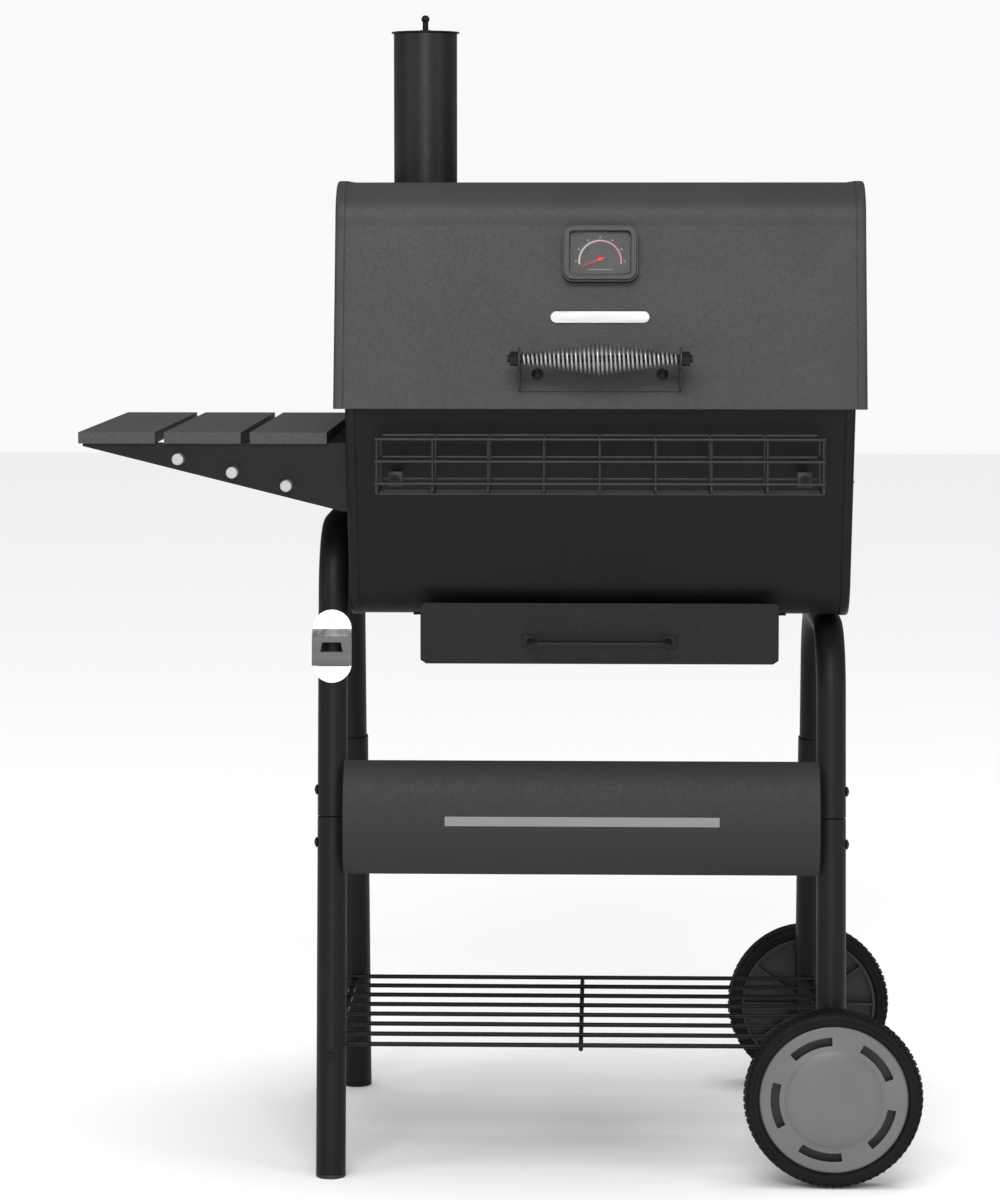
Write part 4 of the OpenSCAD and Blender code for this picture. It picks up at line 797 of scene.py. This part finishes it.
# ---- Grates and rests ------------------------------------------------------------------------
# Enamelled cast bars lie loose on welded angles, with the charcoal grate lower down and a
# plated wire warming rack standing over the rear of the cooking grates.
enamel, tree, shader = start_material("grate_enamel", (0.016,) * 3, 0.35)
pits = noise(tree, 260.0, 4.0)
tree.links.new(mixed(tree, ramp(tree, pits, 0.0, 1.0), (0.012,) * 3, (0.024, 0.022, 0.021)),
               shader.inputs["Base Color"])
tree.links.new(ramp(tree, pits, 0.26, 0.5), shader.inputs["Roughness"])
bumped(tree, shader, pits, 0.3, 0.0008)
for node in ("charcoal_grate", "cooking_grate_left", "cooking_grate_right"):
    softened(node, 0.0008, enamel, "cart")
softened("grate_rests", 0.0003, black_paint, "cart")

WARM_WIRE_R, WARM_WELD = 0.0022, 0.0007
WARM_ROWS, WARM_CROSS_INSET = 7, 0.025
low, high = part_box("warming_rack")
wire_z = high.z - WARM_WIRE_R
WARM_OVERHANG = 0.003
first_y, last_y = low.y + WARM_OVERHANG, high.y - WARM_OVERHANG
row_step = (last_y - first_y) / (WARM_ROWS - 1)
rows = [[(x, first_y + i * row_step, wire_z) for x in (low.x, high.x)] for i in range(WARM_ROWS)]
for x in (low.x + WARM_CROSS_INSET, MIDDLE_X, high.x - WARM_CROSS_INSET):
    rows.append([(x, y, wire_z - 2 * WARM_WIRE_R + WARM_WELD) for y in (low.y, high.y)])
new_piece("warming_wires", bars("warming_wires", rows, WARM_WIRE_R, zinc, sides=14), "cart", zinc,
          "warming_rack")
softened("warming_rack_legs", 0.0003, zinc, "cart", sharp=50)

# ---- Ash drawer ------------------------------------------------------------------------------
# A folded sheet tray behind a flat front, on two welded rails, pulled by a bent rod.
softened("drawer_rails", 0.0003, black_paint, "cart")
softened("ash_drawer", 0.0006, black_paint, "ash_drawer")
PULL_R, PULL_BEND, PULL_HALF_L = 0.004, 0.010, 0.073
FOOT_HALF, FOOT_T, FOOT_OUT = 0.007, 0.002, 0.002
low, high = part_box("drawer_handle")
pull_z = (low.z + high.z) / 2
bar_y = low.y + PULL_R
left, right = MIDDLE_X - PULL_HALF_L, MIDDLE_X + PULL_HALF_L
path = [(left, high.y, pull_z), (left, bar_y, pull_z), (right, bar_y, pull_z), (right, high.y, pull_z)]
parts = [bars("drawer_pull", [path], PULL_R, black_paint, bend=PULL_BEND, steps=10, sides=24)]
for side in (-1, 1):
    x = MIDDLE_X + side * (PULL_HALF_L + FOOT_OUT)
    foot = block("pull_foot", (x - FOOT_HALF, high.y - FOOT_T, pull_z - FOOT_HALF),
                 (x + FOOT_HALF, high.y, pull_z + FOOT_HALF))
    parts.append(with_bevel(foot, 0.0015, 3))
pull = joined("drawer_pull", *parts)
finish_mesh(pull)
new_piece("drawer_pull", pull, "ash_drawer", black_paint, "drawer_handle")

# ---- Wire basket -----------------------------------------------------------------------------
# Welded wire basket screwed to the firebox front: nine ribs bent to a U, three level wires
# on each face, wires along the floor, and two tabs with sleeves.
WIRE_R = 0.0015
RIBS, RIB_INSET, RIB_BEND = 9, 0.002, 0.006
LEVELS, STEP_Z = 3, 0.0227
BASKET_DEPTH = 0.075
FLOOR_WIRE_INSET = 0.018
wire_paint = paint("glossy_wire_paint", 0.009, 0.40, 0.34)
low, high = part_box("wire_basket")
top_z = high.z - WIRE_R
bottom_z = top_z - 2.4 * STEP_Z
front_y = low.y + WIRE_R
back_y = front_y + BASKET_DEPTH
wires = [[(x, y, top_z - i * STEP_Z) for x in (low.x, high.x)]
         for y in (front_y, back_y) for i in range(LEVELS)]
wires += [[(x, y, top_z - i * STEP_Z) for y in (front_y, back_y)]
          for x in (low.x + WIRE_R, high.x - WIRE_R) for i in range(LEVELS - 1)]
wires += [[(x, y, bottom_z - 1.6 * WIRE_R) for x in (low.x, high.x)]
          for y in (front_y + FLOOR_WIRE_INSET, (front_y + back_y) / 2, back_y - FLOOR_WIRE_INSET)]
near, far = front_y + 1.6 * WIRE_R, back_y - 1.6 * WIRE_R
ribs = []
for i in range(RIBS):
    x = low.x + RIB_INSET + i * (high.x - low.x - 2 * RIB_INSET) / (RIBS - 1)
    ribs.append([(x, far, top_z + 0.001), (x, far, bottom_z), (x, near, bottom_z),
                 (x, near, top_z + 0.001)])
TAB_X, TAB_Z, TAB_HALF, TAB_HALF_T, SLEEVE_R = 0.213, 0.750, 0.008, 0.0016, 0.005
tabs = []
for x in (MIDDLE_X - TAB_X, MIDDLE_X + TAB_X):
    tab = block("tab", (x - TAB_HALF, back_y - TAB_HALF_T, TAB_Z - TAB_HALF),
                (x + TAB_HALF, back_y + TAB_HALF_T, TAB_Z + TAB_HALF))
    tabs.append(with_bevel(tab, 0.0005))
    tabs.append(rod_mesh("sleeve", (x, back_y, TAB_Z), (x, high.y - 0.001, TAB_Z), SLEEVE_R))
basket = joined("basket_wires", bars("basket_levels", wires, WIRE_R, wire_paint, sides=12),
                bars("basket_ribs", ribs, WIRE_R, wire_paint, bend=RIB_BEND, steps=6, sides=12), *tabs)
finish_mesh(basket, 50)
new_piece("basket_wires", basket, "cart", wire_paint, "wire_basket")
softened("small_screws", 0.0002, black_paint, "cart", sharp=50)

# ---- Side shelf ------------------------------------------------------------------------------
# Three composite slats on two pressed brackets; the front bracket carries three tool pegs.
slat_board, tree, shader = start_material("slat_board", (0.035,) * 3, 0.55)
shader.inputs["Specular IOR Level"].default_value = 0.35
grain = add(tree, "ShaderNodeMapping", {"Vector": own_position(tree), "Scale": (1.0, 0.12, 1.0)})
fibres = add(tree, "ShaderNodeTexNoise",
             {"Vector": grain.outputs["Vector"], "Scale": 420.0, "Detail": 5.0}).outputs["Fac"]
tree.links.new(mixed(tree, ramp(tree, fibres, 0.0, 1.0), (0.030, 0.030, 0.031), (0.052, 0.052, 0.054)),
               shader.inputs["Base Color"])
bumped(tree, shader, fibres, 0.35, 0.0006)
for node in ("shelf_slat_inner", "shelf_slat_middle", "shelf_slat_outer"):
    softened(node, 0.0008, slat_board, "cart")
softened("shelf_brackets", 0.0005, black_paint, "cart")
softened("tool_pegs", 0.0008, brushed_metal("peg_steel", 0.44, 0.55), "cart")

# ---- Bottle opener ---------------------------------------------------------------------------
# A bright plate with round ends, screwed to the front leg. Its hood is folded out of the plate
# and open below, with a mouth through its face. Hood and hollow take a darker steel: painted shade.
plate_steel = brushed_metal("bright_plate_steel", 0.80, 0.38)
# The hood and the hollow behind it take a far darker steel than the plate they are folded from: painted
# shade.
hood_shade_steel = brushed_metal("hood_steel_painted_shade", 0.11, 0.45, (0.08, 1, 1))
OPENER_Z = 0.563
PLATE_T = 0.002
HOLLOW_HALF_W, HOLLOW_LOW, HOLLOW_HIGH = 0.018, -0.0215, 0.0165
opener_frame = (Matrix.Translation((left_x, leg_y(OPENER_Z, -1), OPENER_Z))
                @ Euler((-SPLAY, 0, 0)).to_matrix().to_4x4()
                @ Matrix.Translation((0, -TUBE_R, 0)))
hood_hollow = block("behind_hood", (-HOLLOW_HALF_W, -PLATE_T - 0.0001, HOLLOW_LOW),
                    (HOLLOW_HALF_W, 2 * PLATE_T, HOLLOW_HIGH))
behind_hood = moved(hood_hollow, opener_frame)
opener = softened("bottle_opener", 0.0003, plate_steel, "cart", cutters=[behind_hood])
opener.data.materials.append(hood_shade_steel)
to_plate = opener_frame.inverted()
# Faces in front of the plate and faces in the hollow behind the hood get the dark steel: painted shade.
for face in opener.data.polygons:
    centre = to_plate @ face.center
    beside = abs(centre.x) < HOLLOW_HALF_W + 0.0005
    level = HOLLOW_LOW + 0.0005 < centre.z < HOLLOW_HIGH - 0.0005
    if centre.y < -PLATE_T - 0.0004 or beside and level:
        face.material_index = 1
softened("opener_screws", 0.0002, zinc, "cart", sharp=50)

# ---- Lid -------------------------------------------------------------------------------------
# The upper half of the barrel: a bent sheet with a leaning front, a crease, round corners
# and a flat top, between two pressed ends. Two strap hinges carry it at the rear.
LID_LEAN = radians(12.4)
CREASE_H = 0.191
low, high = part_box("lid_shell")
lid_z = low.z
lid_top = high.z
lid_half_d = (high.y - low.y) / 2
lid_half_w = (high.x - low.x) / 2 + END_PLATE
lid_corner_r = (lid_top - lid_z) - CREASE_H


def lid_line(out):
    """Front-to-back outline of the lid, grown outwards, from its front edge to its rear edge."""
    crease_y = lid_half_d - CREASE_H * tan(LID_LEAN)
    crease_z = lid_z + CREASE_H
    front = [(-(lid_half_d + out / cos(LID_LEAN)), lid_z)]
    turn = arc_points(-(crease_y - lid_corner_r), crease_z, lid_corner_r + out, 180, 90, 24)
    return mirrored(front + held_flat(front[0], turn, -(crease_y - lid_corner_r) + FLAT_STEP))


def rod_z(name, x, y, z0, z1, radius, sides=72):
    return rod_mesh(name, (x, y, z0), (x, y, z1), radius, sides)


# The lid's paint is several times lighter than the body's black, standing in for the light of the top-front
# lamp on it: painted light.
lid_lit_paint = paint("lid_paint_with_painted_light", 0.030, 0.48, 0.26)
low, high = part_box("chimney_tube")
chimney_x, chimney_y = (low.x + high.x) / 2, (low.y + high.y) / 2
CHIMNEY_R = 0.0352
smoke_hole = rod_z("smoke_hole", chimney_x, chimney_y, lid_top - 0.01, lid_top + 0.01, CHIMNEY_R + 0.0002)
lid_sheet = bent_sheet("lid_sheet", lid_line, lid_half_w - END_PLATE, SHEET)
new_piece("lid_sheet", with_bevel(lid_sheet, 0.0005, cutters=[smoke_hole]), "lid", lid_lit_paint, "lid_shell")
for side, node in ((-1, "lid_left_end"), (1, "lid_right_end")):
    pan = end_pan(node + "_pan", lid_line, lid_half_w, side)
    new_piece(node + "_pan", with_bevel(pan, 0), "lid", lid_lit_paint, node)
softened("hinge_brackets", 0.0005, black_paint, "cart")
softened("hinge_straps", 0.0005, black_paint, "lid")
softened("hinge_pins", 0.0004, zinc, "cart")

# ---- Thermometer and badge -------------------------------------------------------------------
# A moulded case with a recessed printed dial, a red needle and a flat glass. Below it a
# plain bright bar is riveted to the lid.
softened("lid_badge", 0.0006, brushed_metal("badge_steel", 0.36, 0.42, (0.1, 1, 1)), "lid")
case_plastic = moulded("case_plastic", 0.0045, 0.42)
softened("thermometer_case", 0.0014, case_plastic, "lid")

# The scale is printed on the dial: an arc that turns from white to red, with marks outside it
# and a plain dash under the pivot
ARC_R, ARC_HALF_W, ARC_BELOW = 0.0219, 0.0009, 0.0032
MARK_IN, MARK_OUT, MARK_STEP, MARK_HALF = 0.0243, 0.0266, radians(30), radians(2)
PIVOT_DROP = 0.0080
DASH_DROP, DASH_HALF_L, DASH_HALF_H = 0.0088, 0.0130, 0.0005
DIAL_SHADE = 0.055
low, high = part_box("thermometer_dial")
dial_paint, tree, shader = start_material("dial_paint", (DIAL_SHADE,) * 3, 0.6)
place = add(tree, "ShaderNodeSeparateXYZ", {"Vector": own_position(tree)})


def dial_sum(operation, *values):
    return worked_out(tree, operation, *values)


pivot_z = (low.z + high.z) / 2 - PIVOT_DROP * cos(LID_LEAN)
dial_x = dial_sum("SUBTRACT", place.outputs["X"], MIDDLE_X)
dial_y = dial_sum("DIVIDE", dial_sum("SUBTRACT", place.outputs["Z"], pivot_z), cos(LID_LEAN))
reach = dial_sum("SQRT", dial_sum("MULTIPLY_ADD", dial_x, dial_x, dial_sum("MULTIPLY", dial_y, dial_y)))
turn = dial_sum("ARCTAN2", dial_y, dial_x)
above = dial_sum("GREATER_THAN", dial_y, -ARC_BELOW)
arc = dial_sum("MULTIPLY", dial_sum("COMPARE", reach, ARC_R, ARC_HALF_W), above)
on_mark = dial_sum("LESS_THAN", dial_sum("PINGPONG", turn, MARK_STEP / 2), MARK_HALF)
in_ring = dial_sum("COMPARE", reach, (MARK_IN + MARK_OUT) / 2, (MARK_OUT - MARK_IN) / 2)
marks = dial_sum("MULTIPLY", dial_sum("MULTIPLY", on_mark, in_ring), above)
dash = dial_sum("MULTIPLY", dial_sum("COMPARE", dial_x, 0.0, DASH_HALF_L),
                dial_sum("COMPARE", dial_y, -DASH_DROP, DASH_HALF_H))
marks = dial_sum("MAXIMUM", marks, dash)
heat = ramp(tree, dial_x, 0.0, 1.0, -0.018, 0.018)
arc_colour = mixed(tree, heat, (0.44, 0.41, 0.42), (0.42, 0.17, 0.20))
marked = mixed(tree, marks, (DIAL_SHADE,) * 3, (0.20,) * 3)
with_marks = add(tree, "ShaderNodeMix", {6: marked}, data_type="RGBA")
tree.links.new(arc, with_marks.inputs["Factor"])
tree.links.new(arc_colour, with_marks.inputs[7])
tree.links.new(with_marks.outputs[2], shader.inputs["Base Color"])
tree.links.new(ramp(tree, noise(tree, 700.0), 0.55, 0.68), shader.inputs["Roughness"])
softened("thermometer_dial", 0.0001, dial_paint, "lid")
needle_red, tree, shader = start_material("needle_red", (0.60, 0.015, 0.015), 0.4)
bumped(tree, shader, noise(tree, 900.0), 0.05, 0.0002)
softened("thermometer_needle", 0.0001, needle_red, "needle")
clear_window, tree, shader = start_material("clear_window", (1, 1, 1), 0.02)
shader.inputs["Transmission Weight"].default_value = 1.0
shader.inputs["IOR"].default_value = 1.12
tree.links.new(ramp(tree, noise(tree, 60.0), 0.01, 0.04), shader.inputs["Roughness"])
softened("thermometer_glass", 0, clear_window, "lid", sharp=20)

# ---- Lid handle ------------------------------------------------------------------------------
# A folded bracket bolted to the lid holds a rod, and a barrel-shaped coil of bright wire
# turns loosely on the rod as a cool grip.
# The bracket's paint is lightened towards the lid's tone, standing in for the light falling on it: painted
# light.
softened("handle_bracket", 0.0007, paint("bracket_paint_with_painted_light", 0.024, 0.5, 0.26), "lid")
softened("handle_bolts", 0.0003, black_paint, "lid", sharp=50)
softened("handle_rod", 0.0005, black_paint, "lid", sharp=45)

coil_tree, given = start_tree("barrel_coil", {
    "Length": "Float", "Turns": "Float", "Steps": "Int", "End Radius": "Float",
    "Middle Radius": "Float", "Wire Radius": "Float", "Sides": "Int", "Material": "Material"})
coil_line = add(coil_tree, "GeometryNodeCurvePrimitiveLine")
many = add(coil_tree, "GeometryNodeResampleCurve",
           {"Curve": coil_line.outputs[0], "Count": given.outputs["Steps"]})
along = add(coil_tree, "GeometryNodeSplineParameter").outputs["Factor"]


def coil_sum(operation, *values):
    return worked_out(coil_tree, operation, *values)


centred = coil_sum("MULTIPLY_ADD", along, 2.0, -1.0)
swell = coil_sum("POWER", coil_sum("SUBTRACT", 1.0, coil_sum("ABSOLUTE", centred)), 1.15)
gain = coil_sum("SUBTRACT", given.outputs["Middle Radius"], given.outputs["End Radius"])
coil_r = coil_sum("MULTIPLY_ADD", swell, gain, given.outputs["End Radius"])
angle = coil_sum("MULTIPLY", coil_sum("MULTIPLY", along, given.outputs["Turns"]), 2 * pi)
spot = add(coil_tree, "ShaderNodeCombineXYZ", {
    "X": coil_sum("MULTIPLY", centred, coil_sum("MULTIPLY", given.outputs["Length"], 0.5)),
    "Y": coil_sum("MULTIPLY", coil_sum("COSINE", angle), coil_r),
    "Z": coil_sum("MULTIPLY", coil_sum("SINE", angle), coil_r)})
wound = add(coil_tree, "GeometryNodeSetPosition",
            {"Geometry": many.outputs[0], "Position": spot.outputs[0]})
section = add(coil_tree, "GeometryNodeCurvePrimitiveCircle",
              {"Resolution": given.outputs["Sides"], "Radius": given.outputs["Wire Radius"]})
swept = add(coil_tree, "GeometryNodeCurveToMesh",
            {"Curve": wound.outputs[0], "Profile Curve": section.outputs[0], "Fill Caps": True})
end_tree(coil_tree, swept.outputs[0], given)

spring_steel = brushed_metal("spring_steel", 0.40, 0.44)
low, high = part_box("spring_grip")
COIL_WIRE_R, COIL_END_R, COIL_MIDDLE_R = 0.0013, 0.0055, 0.0165
COIL_TURNS, COIL_STEPS = 36, 28
coil = grown("grip_coil", coil_tree, None, length=high.x - low.x - 2 * COIL_WIRE_R,
             turns=float(COIL_TURNS), steps=COIL_TURNS * COIL_STEPS, end_radius=COIL_END_R,
             middle_radius=COIL_MIDDLE_R, wire_radius=COIL_WIRE_R, sides=8, material=spring_steel)
moved(coil, Matrix.Translation((low + high) / 2))
new_piece("grip_coil", coil, "lid", spring_steel, "spring_grip")

# ---- Chimney ---------------------------------------------------------------------------------
# A rolled tube with a collar on the lid, a cross strip inside, and a thin cap on a
# threaded stem with a small knob.
flue_paint = paint("chimney_stove_paint", 0.0085, 0.42, 0.32)
softened("chimney_tube", 0.0004, flue_paint, "lid")
softened("chimney_bridge", 0.0004, black_paint, "lid")
softened("chimney_cap", 0.0004, black_paint, "chimney_cap")
softened("chimney_knob", 0.0002, black_paint, "chimney_cap")

# ---- Floor -----------------------------------------------------------------------------------
# A plain pale floor, wide enough for every view.
floor_paint, tree, shader = start_material("floor_paint", (0.86, 0.86, 0.86), 0.9)
floor = bpy.data.objects.new("floor", mesh_from(
    "floor", [(-12, -12, 0), (12, -12, 0), (12, 12, 0), (-12, 12, 0)], [(0, 1, 2, 3)]))
scene.collection.objects.link(floor)
floor.data.materials.append(floor_paint)
